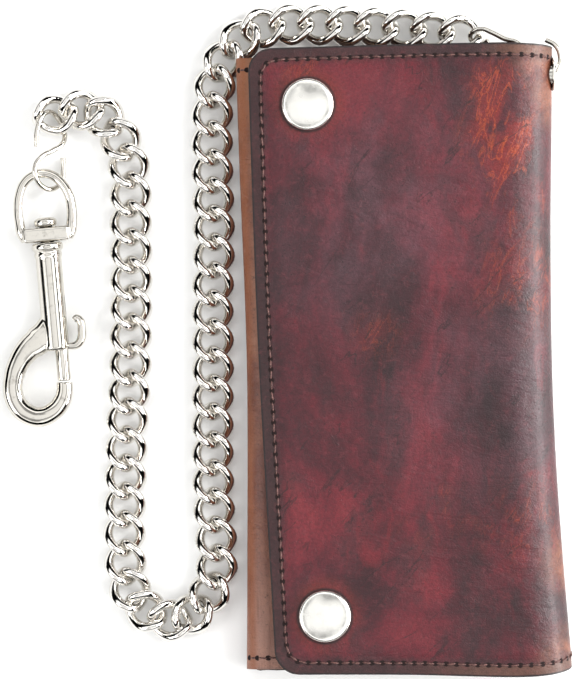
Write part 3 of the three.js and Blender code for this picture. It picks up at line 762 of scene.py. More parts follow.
lining_flap = draped("flap_suede_lining", flap_grid(-HIDE - 0.03, 1.4, WALL_FOOT + 1.2, 40))
mark(lining_flap)
thickened(lining_flap, LINING, 0.15)
dressed(lining_flap, SUEDE, "tan_suede", None, "flap_lining")
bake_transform(lining_flap)

# the back lies flat and turns up tightly at both long edges


BACK_END = 91.5


def back_grid():
    rows = []
    for y in row_places(-BACK_END, BACK_END, 40):
        gap = BACK_END - abs(y)
        left = through(SIDE, y) + corner_pull(gap) * 0.6
        right = through(SPINE, y) - corner_pull(gap) * 0.5
        row = []
        for i in range(6):
            turn = math.pi / 2 * (1 - i / 5)
            row.append(Vector((left + BACK_FOLD * (1 - math.sin(turn)), y, BACK_FOLD * (1 - math.cos(turn)))))
        flat = right - left - 2 * BACK_FOLD
        row += [Vector((left + BACK_FOLD + flat * i / 40, y, 0.0)) for i in range(1, 40)]
        for i in range(6):
            turn = math.pi / 2 * i / 5
            row.append(Vector((right - BACK_FOLD * (1 - math.sin(turn)), y,
                               BACK_FOLD * (1 - math.cos(turn)))))
        rows.append(row)
    return rows


hide_back = draped("back_panel", back_grid(), flip=True)
mark(hide_back, lambda co: min(BACK_END - abs(co.y), 20.0))
thickened(hide_back, HIDE)
dressed(hide_back, HIDE_BURGUNDY, "burgundy_leather", "wallet", "shell_back")

# the folded side and the snap tab


SIDE_LENGTH = 8.8
TAB_EDGE = -3.5
TAB_LOW, TAB_HIGH = -90.4, 91.2


def tab_flat(a, y):
    """A point of the tab's outer face: a runs up the side, round its fold and across the tab."""
    side = through(SIDE, y)
    wall = TAB_Z - SIDE_HIGH - WALL_FOOT
    if a <= wall:
        return Vector((side, y, WALL_FOOT + a))
    if a <= wall + SIDE_LENGTH:
        turn = (a - wall) / SIDE_LENGTH * math.pi / 2
        x = side + SIDE_WIDE * (1 - math.cos(turn))
        return Vector((x, y, TAB_Z - SIDE_HIGH * (1 - math.sin(turn))))
    x = side + SIDE_WIDE + a - wall - SIDE_LENGTH
    return Vector((x, y, TAB_Z + 0.25 * noise.noise(Vector((x / 15, y / 22, 3.0)))))


def tab_grid(lift, inset):
    rows = []
    for y in row_places(TAB_LOW + inset, TAB_HIGH - inset, 44):
        gap = min(y - TAB_LOW, TAB_HIGH - y)
        total = TAB_Z - SIDE_HIGH - WALL_FOOT + SIDE_LENGTH + TAB_EDGE - through(SIDE, y) - SIDE_WIDE
        last = total - inset - corner_pull(max(0.0, gap - inset))
        first = 0.0 if lift == 0 else 1.0
        stops = stations(first, 16, 16)
        stops += stations(16, last - 10, 20)[1:]
        stops += [last - d for d in reversed(NEAR_EDGE[:-1])]
        rows.append([lifted(tab_flat, a, y, lift)[0] if lift else tab_flat(a, y) for a in stops])
    return rows


def tab_edge(co):
    return max(0.0, min(co.y - TAB_LOW, TAB_HIGH - co.y, TAB_EDGE - co.x))


hide_tab = draped("side_and_snap_tab", tab_grid(0.0, 0.0))
mark(hide_tab, tab_edge)
thickened(hide_tab, HIDE)
dressed(hide_tab, HIDE_TAN, "burgundy_leather", None, "shell_side", "shell_tab")
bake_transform(hide_tab)

lining_tab = draped("tab_suede_lining", tab_grid(-HIDE - 0.03, 1.4))
mark(lining_tab)
thickened(lining_tab, LINING, 0.15)
dressed(lining_tab, SUEDE, "tan_suede", None, "tab_lining")
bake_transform(lining_tab)

lining_back = draped("back_suede_lining", [
    [Vector((x, y, 2.95)) for x in stations(-44.4, 42.2, 30)] for y in stations(-88.4, 88.6, 40)])
mark(lining_back)
thickened(lining_back, LINING, 0.15)
dressed(lining_back, SUEDE, "tan_suede", "wallet", "back_lining")

# ---- stitching --------------------------------------------------------------


def thread_stitch():
    """One stitch lying along X: a short thread that rises from its hole and dips into the next."""
    o = cylinder("stitch", 0.25, STITCH_PITCH, 6, end_fill_type="NOTHING", rotation=(0, math.pi / 2, 0))
    bpy.ops.object.transform_apply(location=True, rotation=True, scale=True)
    for k in range(5):
        pick(o, lambda co: True)
        x = STITCH_PITCH * ((k + 1) / 6 - 0.5)
        bpy.ops.mesh.bisect(plane_co=(x * MM, 0, 0), plane_no=(1, 0, 0))
    done()
    for v in o.data.vertices:
        t = abs(v.co.x / MM) / (STITCH_PITCH / 2)
        v.co.z += (0.2 - 0.75 * t**3) * MM
        v.co.y *= 1.15 - 0.35 * t
    return smooth_shaded(o, 80)


def punched_hole_shade():
    """The awl's slit, a small dark lozenge with soft corners, laid on the surface as painted shade for the
    hole.
    """
    nothing_selected()
    bpy.ops.mesh.primitive_circle_add(vertices=10, radius=0.8 * MM, fill_type="TRIFAN")
    o = fresh("hole")
    for v in o.data.vertices:
        v.co.x *= 1.15
        v.co.z = (0.05 - 0.04 * (v.co.xy.length / (0.7 * MM))) * MM
    return o


STITCH, PUNCH = thread_stitch(), punched_hole_shade()


def straight(p, q, count):
    """Places on the straight line between two places."""
    return list(zip(stations(p[0], q[0], count), stations(p[1], q[1], count)))


def spaced(points, pitch=STITCH_PITCH):
    """Even steps along a line of points."""
    lengths = [0.0]
    for p, q in zip(points, points[1:]):
        lengths.append(lengths[-1] + (q - p).length)
    count = max(1, round(lengths[-1] / pitch))
    out, k = [], 0
    for i in range(count + 1):
        target = lengths[-1] * i / count
        while k < len(points) - 2 and lengths[k + 1] < target:
            k += 1
        share = (target - lengths[k]) / max(1e-9, lengths[k + 1] - lengths[k])
        out.append(points[k].lerp(points[k + 1], share))
    return out


def sewn(name, lines, surface, lift=0.0):
    """Stitches and holes along lines of (across, along) places on a surface: two meshes."""
    threads, holes = [], []
    for line in lines:
        stops = spaced([Vector((a, y, 0)) for a, y in line])
        placed = [lifted(surface, s.x, s.y, lift) for s in stops]
        for i, (here, up) in enumerate(placed):
            there = placed[i + 1][0] if i + 1 < len(placed) else here + (here - placed[i - 1][0])
            along = (there - here).normalized()
            side = up.cross(along).normalized()
            facing = Matrix((along, side, along.cross(side))).transposed().to_4x4()
            wobble = askew(9, "Z")
            holes.append(copied(PUNCH, "hole", Matrix.Translation(here * MM) @ facing @ wobble))
            if i + 1 < len(placed):
                size = Matrix.Diagonal(((there - here).length / STITCH_PITCH, 1, 1, 1))
                middle = Matrix.Translation((here + there) / 2 * MM)
                threads.append(copied(STITCH, "thread", middle @ facing @ wobble @ size))
    thread = mark(joined(name + "_thread", threads))
    hole = joined(name + "_holes", holes)
    return thread, hole


def rounded_line(inset):
    """The seam round the flap's three cut edges, from the spine's top to its bottom."""
    end = 58.0
    line = []
    for i in range(61):
        a = end + (-31 - end) * i / 60
        line.append((a, through(FLAP_HIGH, a) - inset))
    top = through(FLAP_HIGH, -40) - inset
    for i in range(1, 9):
        turn = math.pi / 2 * i / 8
        free = through(FREE, top - CORNER * (1 - math.cos(turn)) - 1) + inset
        line.append((free + 5 * (1 - math.sin(turn)), top - 5 * (1 - math.cos(turn))))
    low = through(FLAP_LOW, -40) + inset
    for i in range(1, 60):
        y = (top - 5) + (low + 5 - top + 5) * i / 60
        line.append((through(FREE, y) + inset, y))
    for i in range(0, 9):
        turn = math.pi / 2 * i / 8
        free = through(FREE, low + 2) + inset
        line.append((free + 5 * (1 - math.cos(turn)), low + 5 * (1 - math.sin(turn))))
    for i in range(1, 61):
        a = (through(FREE, low) + inset + 5) + (end - through(FREE, low) - inset - 5) * i / 60
        line.append((a, through(FLAP_LOW, a) + inset))
    return line


def sew(name, lines, surface, thread, slot, body=None):
    """Sews lines a hair above a surface and dresses the thread and the holes."""
    pieces = sewn(name, lines, surface, 0.02)
    for o, material in zip(pieces, (thread, HOLE_SHADE)):
        dressed(o, material, slot, body)
    return pieces


for o in sew("flap_seam", [rounded_line(STITCH_INSET)], flap_flat, THREAD, "burgundy_leather"):
    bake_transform(o)


def tab_line(y):
    first = TAB_Z - SIDE_HIGH - WALL_FOOT + 3.2
    return [(first + i * 1.2, y) for i in range(26)]


for o in sew("tab_seam", [tab_line(87.6), tab_line(-87.0)], tab_flat, THREAD, "burgundy_leather"):
    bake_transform(o)

# ---- bill pocket, coin pocket and zipper ------------------------------------

tray_low, tray_high = in_mm(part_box("bill_pocket"))
bill = block("bill_pocket_leather", tray_low, tray_high)
pick(bill, lambda centre, normal: normal.z < -0.9 or normal.x > 0.9, "FACE")
bpy.ops.mesh.delete(type="FACE")
bpy.ops.mesh.select_all(action="SELECT")
bpy.ops.mesh.subdivide(number_cuts=20)
done()
for v in bill.data.vertices:
    p = v.co / MM
    inward = 0.8 * math.sin((p.z - tray_low.z) / 5 * math.pi)
    if abs(p.y) > 87.5:
        v.co.y -= math.copysign(inward, p.y) * MM
    if p.x < tray_low.x + 0.5:
        v.co.x += inward * MM
mark(bill, lambda co: tray_high.x - co.x)
thickened(bill, 0.9, 0.2)
dressed(bill, POCKET, "pocket_leather", "wallet", "bill_pocket")

panel_low, panel_high = in_mm(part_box("coin_pocket"))
tape_low, tape_high = in_mm(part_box("zipper_tape"))
ZIP_X = (tape_low.x + tape_high.x) / 2
ZIP_HALF, ZIP_GAP = 72.0, 3.6     # half the opening's length and width


def panel_height(x, y):
    """The coin panel swells over the pocket and is drawn down beside the zipper and at its edges."""
    rim = min(x - panel_low.x, panel_high.x - x, y - panel_low.y, panel_high.y - y)
    beside = abs(x - ZIP_X) - ZIP_GAP
    swell = 0.28 * smooth(0, 12, rim) * smooth(0, 9, max(beside, 0) + (0 if abs(y) < ZIP_HALF else 9))
    return panel_high.z - 0.05 + swell + 0.06 * noise.noise(Vector((x / 8, y / 11, 0.4)))


def coin_panel():
    columns = [panel_low.x + d for d in (0, 0.4, 1.0, 2.0, 3.5)]
    columns += [panel_low.x + 5 + (ZIP_X - ZIP_GAP - panel_low.x - 6) * i / 26 for i in range(27)]
    columns += [ZIP_X - ZIP_GAP, ZIP_X - 1.2, ZIP_X + 1.2, ZIP_X + ZIP_GAP]
    columns += [ZIP_X + 4.6 + (panel_high.x - ZIP_X - 8.2) * i / 6 for i in range(7)]
    columns += [panel_high.x - d for d in (2.4, 1.2, 0.5, 0)]
    rows = [panel_low.y + d for d in (0, 0.4, 1.0, 2.0, 3.5, 5, 9)]
    rows += stations(-ZIP_HALF, ZIP_HALF, 48)
    rows += [panel_high.y - d for d in (9, 5, 3.5, 2.0, 1.0, 0.4, 0)]
    o = draped("coin_pocket_panel", [[Vector((x, y, panel_height(x, y))) for x in columns] for y in rows])
    pick(o, lambda centre, normal: abs(centre.x - ZIP_X) < ZIP_GAP and abs(centre.y) < ZIP_HALF, "FACE")
    bpy.ops.mesh.delete(type="FACE")
    done()
    mark(o, lambda co: min(co.x - panel_low.x, panel_high.x - co.x, co.y - panel_low.y, panel_high.y - co.y,
                           max(abs(co.x - ZIP_X) - ZIP_GAP, abs(co.y) - ZIP_HALF)))
    return thickened(o, 0.9, 0.25)


dressed(coin_panel(), POCKET, "pocket_leather", "wallet", "coin_pocket")


def on_panel(a, y):
    return Vector((a, y, panel_height(a, y)))


panel_lines = [[(ZIP_X + s * 5.4, -73.5), (ZIP_X + s * 5.4, 73.5)] for s in (-1, 1)]
panel_lines += [[(panel_low.x + 2.6, panel_high.y - 2.4), (panel_low.x + 2.6, panel_low.y + 2.4)]]
panel_lines += [[(panel_low.x + 2.6, y), (panel_high.x - 2.0, y)] for y in (panel_low.y + 2.4,
        panel_high.y - 2.4)]
panel_lines = [straight(p, q, 30) for p, q in panel_lines]
sew("coin_seam", panel_lines, on_panel, THREAD_IN, "pocket_leather", "wallet")


def zipper_band():
    """The tape: two woven bands that meet under the teeth, each with a corded edge."""
    columns = [tape_low.x, tape_low.x + 0.3, ZIP_X - 2.2, ZIP_X - 1.6, ZIP_X - 0.9, ZIP_X - 0.15, ZIP_X,
               ZIP_X + 0.15, ZIP_X + 0.9, ZIP_X + 1.6, ZIP_X + 2.2, tape_high.x - 0.3, tape_high.x]
    heights = [0, 0, 0, 0.12, 0.2, 0.05, -0.12, 0.05, 0.2, 0.12, 0, 0, 0]
    rows = stations(tape_low.y, tape_high.y, 60)
    o = draped("zipper_tape_cloth", [[Vector((x, y, tape_high.z + h)) for x,
                                      h in zip(columns, heights)] for y in rows])
    return thickened(o, 0.4, 0.08)


dressed(zipper_band(), CLOTH, "zipper_cloth", "wallet", "zipper_tape")

teeth_low, teeth_high = in_mm(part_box("zipper_teeth"))


def zipper_teeth():
    """Cast teeth in two rows that mesh: each a small block with a waisted neck and a rounded head."""
    tooth = block("tooth", (-0.35, -0.42, 0), (1.6, 0.42, 0.75), 0.14, 1)
    pick(tooth, lambda co: co.x > 0.9)
    bpy.ops.transform.resize(value=(1, 0.62, 1), center_override=(0, 0, 0.37 * MM))
    done()
    pitch = 1.62
    count = int((teeth_high.y - teeth_low.y) / pitch)
    rows = []
    for i in range(count):
        for side in (0, 1):
            y = teeth_low.y + pitch * (i + 0.5 + side * 0.5)
            turn = Matrix.Rotation(math.pi * side, 4, "Z")
            rows.append(copied(tooth, "tooth", at(ZIP_X, y, teeth_low.z - 0.05) @ turn))
    discard(tooth)
    stops = [block("stop", (ZIP_X - 1.7, y - 0.6, teeth_low.z), (ZIP_X + 1.7, y + 0.6, teeth_low.z + 0.8),
                   0.2, 2)
             for y in (teeth_low.y - 0.4, teeth_high.y + 0.2)]
    return smooth_shaded(joined("zipper_teeth_rows", rows + stops), 30)


dressed(zipper_teeth(), NICKEL_SATIN, "nickel_plate", "wallet", "zipper_teeth")

slide_low, slide_high = in_mm(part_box("zipper_slider"))
slide_y = (slide_low.y + slide_high.y) / 2


def zipper_slider():
    """The slider: a waisted plate with turned-down lips and an arched bridge for the pull."""
    z0 = slide_low.z
    plate = block("slider_plate", (ZIP_X - 2.9, slide_low.y, z0 + 1.0),
                  (ZIP_X + 2.9, slide_high.y, z0 + 1.75))
    pick(plate, lambda co: True)
    bpy.ops.mesh.subdivide(number_cuts=5)
    done()
    for v in plate.data.vertices:
        t = (v.co.y / MM - slide_y) / 4
        v.co.x = (ZIP_X + (v.co.x / MM - ZIP_X) * (0.8 + 0.2 * math.sin(t * 1.4))) * MM
    softened(plate, 0.22)
    lips = [block("lip", (ZIP_X + s * 2.25 - 0.35, slide_low.y + 0.4, z0 + 0.05),
                  (ZIP_X + s * 2.25 + 0.35, slide_high.y - 0.4, z0 + 1.2), 0.2, 2)
            for s in (-1, 1)]
    top = slide_high.z
    bridge = bent_wire("bridge", [(ZIP_X, slide_y - 2.7, z0 + 1.4), (ZIP_X, slide_y - 2.3, top - 0.8),
                                  (ZIP_X, slide_y - 1.0, top - 0.4),
                                  (ZIP_X, slide_y + 1.0, top - 0.4), (ZIP_X, slide_y + 2.3, top - 0.8),
                                  (ZIP_X, slide_y + 2.7, z0 + 1.4)], 0.36, 3, 5)
    return smooth_shaded(joined("zipper_slider_body", [plate, *lips, bridge]), 35)


dressed(zipper_slider(), NICKEL_SATIN, "nickel_plate", "zip_slider", "zipper_slider")

pull_low, pull_high = in_mm(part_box("zipper_pull"))


def zipper_pull():
    """The pull: a flat tongue, waisted, with a window at the bridge and a round hole at its end."""
    o = block("zipper_pull_tab", pull_low, pull_high)
    pick(o, lambda co: True)
    bpy.ops.mesh.subdivide(number_cuts=9)
    done()
    for v in o.data.vertices:
        t = (v.co.y / MM - pull_low.y) / 15
        width = 1 - 0.22 * math.sin(math.pi * t) ** 2 - (0.45 * ((0.12 - t) / 0.12) ** 2 if t < 0.12 else 0)
        v.co.x = (ZIP_X + (v.co.x / MM - ZIP_X) * width) * MM
    carve(o, block("window", (ZIP_X - 1.1, pull_high.y - 5.2, 0), (ZIP_X + 1.1, pull_high.y - 1.0, 30)))
    carve(o, cylinder("eye", 1.0, 50, 24, location=(ZIP_X * MM, (pull_low.y + 2.6) * MM, 0)))
    softened(o, 0.14, 50)
    return smooth_shaded(o, 35)


dressed(zipper_pull(), NICKEL_SATIN, "nickel_plate", "zip_slider", "zipper_pull")

# ---- card pockets -----------------------------------------------------------

for number in (1, 2, 3):
    low, high = in_mm(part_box(f"card_pocket_{number}"))
    low.z = high.z = low.z + 0.5

    def pocket_place(a, y, low=low, high=high):
        """The pocket hangs under the lining: pinned at its two ends, standing a little open at its mouth."""
        mouth = smooth(high.x - 14, high.x, a)
        slack = 0.35 * math.sin(math.pi * (y - low.y) / (high.y - low.y)) * mouth
        return Vector((a, y, low.z + 0.35 - slack))

    columns, rows = stations(low.x, high.x, 24), stations(low.y, high.y, 60)
    pocket = draped(f"card_pocket_leather_{number}", [[pocket_place(x, y) for x in columns] for y in rows])
    mark(pocket, lambda co, low=low, high=high: min(high.x - co.x, co.y - low.y, high.y - co.y))
    thickened(pocket, 0.5, 0.12)
    dressed(pocket, POCKET, "pocket_leather", "flap", f"card_pocket_{number}")

    def underside(a, y, place=pocket_place):
        p = place(a, y)
        return Vector((p.x, p.y, p.z - 0.5))

    inner = 5.0 if number == 3 else high.x - 9.5
    seams = [[(high.x - 1.6, low.y + 2), (high.x - 1.6, high.y - 2)]]
    seams += [[(inner, y), (high.x - 2.5, y)] for y in (low.y + 2, high.y - 2, -2.0)]
    seams = [straight(p, q, 20) for p, q in seams]

    def seen_from_below(a, y, under=underside, middle=(low.y + high.y) / 2):
        return under(a, 2 * middle - y)

    sew(f"card_seam_{number}", seams, seen_from_below, THREAD_IN, "pocket_leather", "flap")

# ---- snaps ------------------------------------------------------------------

CAP = [(0, 2.3), (1.5, 2.27), (3.0, 2.18), (4.5, 2.03), (5.8, 1.84), (6.8, 1.64), (7.3, 1.46), (7.6, 1.16),
       (7.76, 0.75), (7.74, 0.3), (7.55, 0.0),
       (6.9, -0.05), (1.3, -0.05), (1.25, -2.2), (0, -2.2)]
SOCKET = [(2.7, 0.0), (3.3, -0.35), (4.4, -0.3), (5.1, 0.1), (5.1, 1.4), (4.8, 1.75), (3.1, 1.75), (2.8, 1.3),
          (2.55, 0.7), (2.7, 0.0)]
STUD = [(1.5, 0), (5.0, 0), (5.0, 0.3), (4.6, 0.5), (2.6, 0.6), (1.8, 0.85), (1.75, 1.1), (2.05, 1.6),
        (2.0, 2.0), (1.5, 2.3), (0, 2.35),
        (0, 1.4), (1.5, 1.3), (1.5, 0)]
POST = [(0, 0), (4.6, 0), (5.0, 0.12), (4.9, 0.35), (1.2, 0.45), (1.2, 4.2), (0, 4.3)]

for (x, y), place in zip(SNAPS, ("upper", "lower")):
    parts = {
        "cap": (CAP, "flap", 0.25, 96, NICKEL_CAP),
        "socket": (SOCKET, "flap", 0.05, 40, NICKEL_SATIN),
        "stud": (STUD, "snap_tab", 0.0, 40, NICKEL_SATIN),
        "post": (POST, "snap_tab", 0.0, 32, NICKEL_SATIN),
    }
    for part, (profile, body, raise_by, steps, metal) in parts.items():
        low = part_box(f"snap_{part}_{place}")[0].z / MM
        base = 19.05 if part == "cap" else low + raise_by
        o = set_down(turned(f"snap_{part}_{place}_metal", profile, steps), at(x, y, base))
        dressed(o, metal, "nickel_plate", body, f"snap_{part}_{place}")

# ---- grommet in the spine ---------------------------------------------------

hole_low, hole_high = in_mm(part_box("grommet_eyelet"))
grommet_y = (hole_low.y + hole_high.y) / 2
grommet_z = (hole_low.z + hole_high.z) / 2
spine_here = through(SPINE, grommet_y)
facing_out = at(spine_here, grommet_y, grommet_z) @ Matrix.Rotation(math.pi / 2, 4, "Y")
EYELET = [(2.6, -3.2), (3.0, -3.3), (3.05, -0.1), (4.9, 0.0), (5.0, 0.3), (4.4, 0.7), (3.6, 0.85), (2.9, 0.6),
          (2.6, 0.1), (2.6, -3.2)]
WASHER = [(3.3, -2.75), (4.8, -2.75), (5.0, -2.95), (4.6, -3.3), (3.5, -3.35), (3.3, -3.1), (3.3, -2.75)]
for name, profile in (("eyelet", EYELET), ("washer", WASHER)):
    o = set_down(turned(f"grommet_{name}_metal", profile, 48), facing_out)
    dressed(o, NICKEL_SATIN, "nickel_plate", "wallet", f"grommet_{name}")
punch = set_down(cylinder("grommet_punch", 2.85, 8), facing_out)
for o in (hide_flap, lining_flap):
    carve(o, copied(punch, "punch", Matrix.Identity(4)))
discard(punch)

# ---- S-hooks ----------------------------------------------------------------

HOOK_WIRE = 0.78
WALLET_HOOK = [
    (27.5, 95.7, 3.2), (26.0, 94.8, 2.4), (23.9, 95.0, 2.5), (22.1, 96.7, 4.1), (23.0, 98.4, 5.9),
    (25.6, 99.0, 6.8), (28.6, 97.8, 7.2), (32.4, 95.8, 7.8), (35.9, 94.6, 8.6), (37.9, 91.8, 9.0),
    (38.5, 88.0, 9.0), (41.2, 85.1, 9.0), (45.0, 85.0, 9.0), (47.8, 87.0, 9.0), (48.6, 90.2, 9.0),
    (47.2, 93.6, 9.0), (44.3, 95.3, 9.0)]
CLIP_HOOK = [
    (-108.0, 66.2, 7.0), (-107.8, 70.2, 7.4), (-106.7, 74.0, 7.2), (-105.1, 76.3, 5.5),
    (-103.4, 76.5, 3.4), (-101.6, 74.7, 1.8), (-100.2, 71.9, 1.4), (-99.6, 69.0, 2.6),
    (-100.6, 66.6, 4.4), (-103.3, 64.9, 6.0), (-106.2, 63.3, 7.4), (-108.2, 60.8, 8.1),
    (-108.3, 57.6, 7.9), (-106.5, 54.4, 5.6), (-103.6, 53.6, 3.3), (-101.0, 55.6, 1.6),
    (-100.3, 59.2, 1.5), (-100.3, 63.0, 1.9)]
for name, route, body in (("wallet_s_hook", WALLET_HOOK, "wallet_hook"),
                          ("clip_s_hook", CLIP_HOOK, "clip_hook")):
    wire = bent_wire(name + "_wire", route, HOOK_WIRE, 5, 7)
    softened(wire, 0.2, 60)
    dressed(wire, NICKEL_CAST, "nickel_plate", body, name)

# ---- curb chain -------------------------------------------------------------

LINK_PITCH, LINK_WIRE, LINK_WIDE = 8.44, 3.1, 12.7
LINK_TWIST = -45.0
LINK_CORE = 2.9                 # wire that sets the ring's middle line
LINKS = 52


def curb_link():
    """One link along X: a ring pulled long, then twisted so that it lies flat among its neighbours."""
    half_long, half_wide = (LINK_PITCH + LINK_CORE) / 2, (LINK_WIDE - LINK_CORE) / 2
    nothing_selected()
    bpy.ops.mesh.primitive_torus_add(major_segments=40, minor_segments=16, major_radius=half_wide * MM,
                                     minor_radius=LINK_WIRE / 2 * MM)
    o = fresh("curb_link")
    for v in o.data.vertices:
        around = math.atan2(v.co.y, v.co.x)
        v.co.x += (half_long - half_wide) * MM * math.cos(around)
    for v in o.data.vertices:
        turn = math.radians(LINK_TWIST) * v.co.x / MM / half_long
        y, z = v.co.y, v.co.z
        v.co.y = y * math.cos(turn) - z * math.sin(turn)
        v.co.z = y * math.sin(turn) + z * math.cos(turn)
    return smooth_shaded(o, 80)


def chain_stops():
    """Where each link begins: the pairs' joints, and between them the smooth middle of each pair."""
    joints = {j["child"]: Vector(j["pos_m"]) for j in frame["joints"] if j["type"] == "hinge"}
    ends = [joints[f"links_{n:02d}"] / MM for n in range(1, 27)]
    ends.append(Vector((-106.4, 74.6, 4.6)))
    stops = []
    for i in range(26):
        before = ends[i - 1] if i else ends[0] * 2 - ends[1]
        after = ends[i + 2] if i < 25 else ends[26] * 2 - ends[25]
        tangent0 = (ends[i + 1] - before) / 2
        tangent1 = (after - ends[i]) / 2
        stops += [ends[i], (ends[i] + ends[i + 1]) / 2 + (tangent0 - tangent1) / 8]
    return stops + [ends[26]]


link = curb_link()
stops = chain_stops()
for i in range(LINKS):
    start, end = stops[i], stops[i + 1]
    along = (end - start).normalized()
    across = Vector((0, 0, 1)).cross(along).normalized()
    up = along.cross(across)
    facing = Matrix((along, across, up)).transposed().to_4x4()
    lean = askew(3, "X") @ askew(2, "Z")
    place = Matrix.Translation((start + end) / 2 * MM) @ facing @ lean
    lowest = min((place @ v.co).z for v in link.data.vertices)
    place = Matrix.Translation((0, 0, max(0.0,
                                          -lowest))) @ place      # a link rests on the ground, never in it
    pair = i // 2 + 1
    o = copied(link, f"curb_link_{i + 1:02d}", place)
    dressed(o, NICKEL, "nickel_plate", f"links_{pair:02d}", f"chain_links_{pair:02d}")
discard(link)

# ---- swivel eye and bolt snap -----------------------------------------------

pivot = next(j for j in frame["joints"] if j["name"] == "clip_swivel")
snap_axis = Vector(pivot["axis"])
SNAP_PLACE = Matrix.Translation(Vector(pivot["pos_m"])) @ Matrix.Rotation(math.atan2(-snap_axis.x,
        snap_axis.y), 4, "Z")
UPRIGHT = Matrix.Rotation(-math.pi / 2, 4, "X")     # a turned piece's Z laid along the snap's axis
LENGTHWISE = (math.pi / 2, 0, 0)
BOLT_X = 1.5                    # the bolt runs beside the barrel's middle


def cast(o):
    """Melts joined pieces into one casting with soft inner corners."""
    modify(o, "REMESH", mode="VOXEL", voxel_size=0.24 * MM)
    modify(o, "SMOOTH", factor=0.5, iterations=3)


def swivel_eye():
    """A D-shaped bow of round wire cast in one with a square bar that the snap's neck turns in."""
    bow = [(-6.0, -1.2), (-7.2, 0.8), (-7.7, 4.2), (-7.8, 8.2), (-7.0, 12.6), (-5.0, 16.2), (-2.2, 18.0),
           (0.4, 18.3), (3.0, 17.6), (5.7, 15.2), (7.6, 11.6), (8.2, 7.6), (8.0, 4.0), (7.4, 0.8),
           (6.2, -1.2)]
    thick = [1.7, 1.65, 1.5, 1.4, 1.35, 1.4, 1.45, 1.45, 1.45, 1.45, 1.5, 1.55, 1.6, 1.7, 1.7]
    ring = bent_wire("bow", bow, thick, 6, 8)
    bar = block("bar", (-6.9, -2.2, -2.7), (6.9, 2.2, 2.7), 0.75, 2)
    o = joined("swivel_eye_casting", [ring, bar])
    cast(o)
    carve(o, cylinder("neck_hole", 2.1, 10, rotation=LENGTHWISE))
    return smooth_shaded(o, 40)


dressed(set_down(swivel_eye(), SNAP_PLACE), NICKEL_CAST, "nickel_plate", "eye", "swivel_eye")

HEAD = [(0, 5.2), (1.6, 5.15), (2.7, 4.9), (3.35, 4.4), (3.5, 3.7), (3.4, 2.9), (2.9, 2.45), (1.7, 2.42),
        (1.68, -2.3), (3.2, -2.42),
        (4.3, -2.6), (4.65, -3.1), (4.75, -3.8), (4.6, -4.5), (4.0, -4.95), (3.9, -5.3), (4.15, -5.7),
        (4.15, -6.5), (3.9, -7.0), (3.9, -34.0), (3.6, -34.5), (3.3, -34.8), (0, -34.8)]
HOOK_PATH = [(-0.4, -23.0), (-1.9, -27.2), (-4.6, -30.9), (-8.5, -33.7), (-11.7, -37.6), (-13.6, -42.0),
             (-14.1, -46.2),
             (-12.9, -50.2), (-10.2, -53.0), (-6.6, -54.1), (-2.9, -53.0), (-0.1, -50.4), (1.2, -47.4),
             (1.5, -44.4)]
HOOK_THICK = [2.4, 3.5, 4.5, 3.8, 3.3, 3.0, 3.0, 3.05, 3.1, 3.1, 2.9, 2.7, 2.5, 2.4]
HOOK_FLAT = 3.4                 # the hook's broad shoulder is no deeper than about this


def snap_body():
    """Cast zinc body: domed swivel head, neck, collar, a barrel for the bolt, and the hook at its side."""
    barrel = set_down(turned("barrel", HEAD, 56), UPRIGHT)
    hook = bent_wire("hook", HOOK_PATH, HOOK_THICK, 7, 8)
    for v in hook.data.vertices:
        v.co.z /= (1 + (v.co.z / MM / HOOK_FLAT) ** 4) ** 0.25
    o = joined("bolt_snap_casting", [barrel, hook])
    cast(o)
    carve(o, cylinder("bore", 2.3, 28.2, rotation=LENGTHWISE, location=(BOLT_X * MM, -21.2 * MM, 0)))
    carve(o, block("slot", (1.5, -35.3, -1.15), (9, -18.4, 1.15), 0.5, 3))
    return smooth_shaded(o, 40)


dressed(set_down(snap_body(), SNAP_PLACE), NICKEL_CAST, "nickel_plate", "snap", "snap_body")

BOLT = [(0, -24.0), (1.75, -24.0), (2.0, -24.3), (2.0, -43.3), (1.85, -43.75), (1.5, -43.95), (0, -43.95)]


def thumb_bolt():
    """The sliding bolt: a turned rod with a curled thumb piece that stands out through the slot."""
    rod = set_down(turned("rod", BOLT, 32), at(BOLT_X, 0, 0) @ UPRIGHT)
    thumb = bent_wire("thumb", [(2.4, -33.2), (4.5, -33.8), (6.5, -33.4), (7.7, -31.6), (8.0, -29.0),
                                (7.8, -26.6), (6.8, -25.6), (5.9, -26.2)],
                      [0.95, 1.05, 1.25, 1.3, 1.25, 1.2, 1.1, 0.85], 6, 7)
    return smooth_shaded(joined("thumb_bolt_casting", [rod, thumb]), 40)


dressed(set_down(thumb_bolt(), SNAP_PLACE), NICKEL_CAST, "nickel_plate", "bolt", "thumb_bolt")


def return_spring():
    """The coil between the bolt's top and the end of the bore."""
    turns, low, high = 7, -23.4, -7.9
    coil = [(1.5 + 1.5 * math.cos(math.pi / 4 * i), low + (high - low) * i / (turns * 8),
             1.5 * math.sin(math.pi / 4 * i)) for i in range(turns * 8 + 1)]
    return bent_wire("bolt_spring_coil", coil, 0.28, 3, 3)


spring = set_down(return_spring(), SNAP_PLACE)
dressed(spring, STEEL, "spring_steel", "snap", "bolt_spring")
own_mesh(spring)
discard(STITCH, PUNCH)

# ---- floor, light and camera ------------------------------------------------

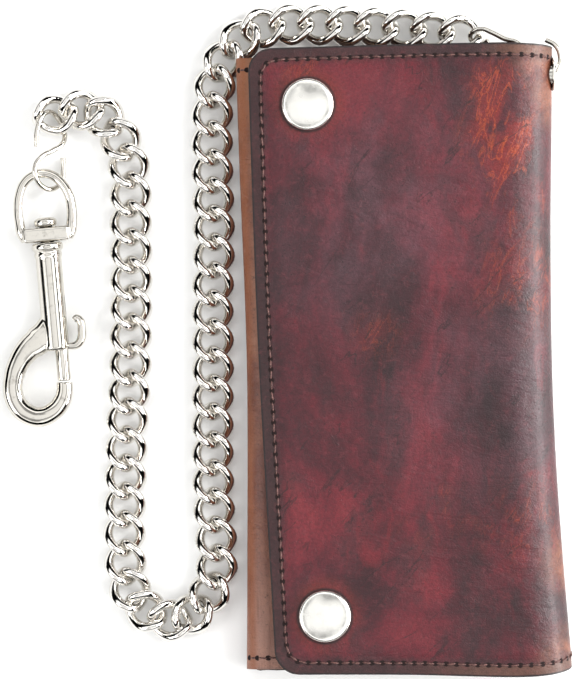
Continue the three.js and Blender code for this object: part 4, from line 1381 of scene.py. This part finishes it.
nothing_selected()
bpy.ops.mesh.primitive_plane_add(size=6, location=(0, 0, -0.0002))
floor = fresh("floor")
m, tree, shader = new_material("pale_paper_floor")
where = add(tree, "ShaderNodeTexCoord").outputs["Object"]
paper = noise_at(where, 40 * MM, 3.0, 0.5)
fill(shader, {
    "Base Color": ramp(paper, [(0.3, "#f7f7f6"), (0.7, "#fafaf9")]), "Roughness": 0.9,
    "Emission Color": srgb("#ffffff"), "Emission Strength": 0.07})
floor.data.materials.append(m)

scene = bpy.context.scene
scene.view_settings.view_transform = "Standard"

world = bpy.data.worlds.new("studio")
scene.world = world
world.use_nodes = True
tree = world.node_tree
tree.nodes.clear()
direction = add(tree, "ShaderNodeTexCoord").outputs["Generated"]
height = add(tree, "ShaderNodeSeparateXYZ", sockets={0: direction}).outputs["Z"]
side = add(tree, "ShaderNodeSeparateXYZ", sockets={0: direction}).outputs["X"]
patches = add(tree, "ShaderNodeTexNoise", sockets={"Vector": direction, "Scale": 2.2,
                                                   "Detail": 3.0}).outputs[0]
uneven = maths("MULTIPLY_ADD", patches, 0.34, -0.17)
level = maths("ADD", height, uneven)
dome = ramp(level, [(0.0, "#c8c8c8"), (0.10, "#c8c8c8"), (0.16, "#050505"), (0.57, "#070707"),
                    (0.64, "#f0f0f0"),
                          (0.84, "#f4f4f4"), (0.89, "#707070"), (0.93, "#808080"), (0.965, "#d2d2d2")])
dim = between(side, -0.9, 0.7, 1.6, 2.2)
back = add(tree, "ShaderNodeBackground", sockets={"Color": dome, "Strength": dim})
out = add(tree, "ShaderNodeOutputWorld", sockets={"Surface": back.outputs[0]})


def soft_light(name, place, aim, size, power):
    nothing_selected()
    bpy.ops.object.light_add(type="AREA", location=place)
    o = bpy.context.object
    o.name = name
    o.data.shape = "RECTANGLE"
    o.data.size, o.data.size_y = size
    o.data.energy = power
    o.rotation_euler = (Vector(aim) - Vector(place)).to_track_quat("-Z", "Y").to_euler()


soft_light("key_softbox", (0.75, 0.35, 0.75), (0, 0, 0), (0.35, 0.6), 5.0)
soft_light("right_strip", (0.85, 0.0, 0.27), (0.03, 0, 0), (0.9, 0.28), 13.0)
soft_light("fill_softbox", (-0.8, -0.3, 0.55), (-0.03, 0, 0), (0.5, 0.5), 3.0)

FRAME_TALL = 202.0
LENS = 250.0
camera_height = FRAME_TALL / 2 * LENS / 18 + 10
bpy.ops.object.camera_add(location=Vector((-34.2, 7.4, camera_height)) * MM,
                          rotation=(0, 0, math.radians(-1.0)))
camera = bpy.context.object
camera.data.lens = LENS
camera.data.sensor_width = 36
camera.data.clip_start, camera.data.clip_end = 0.01, 20
scene.camera = camera
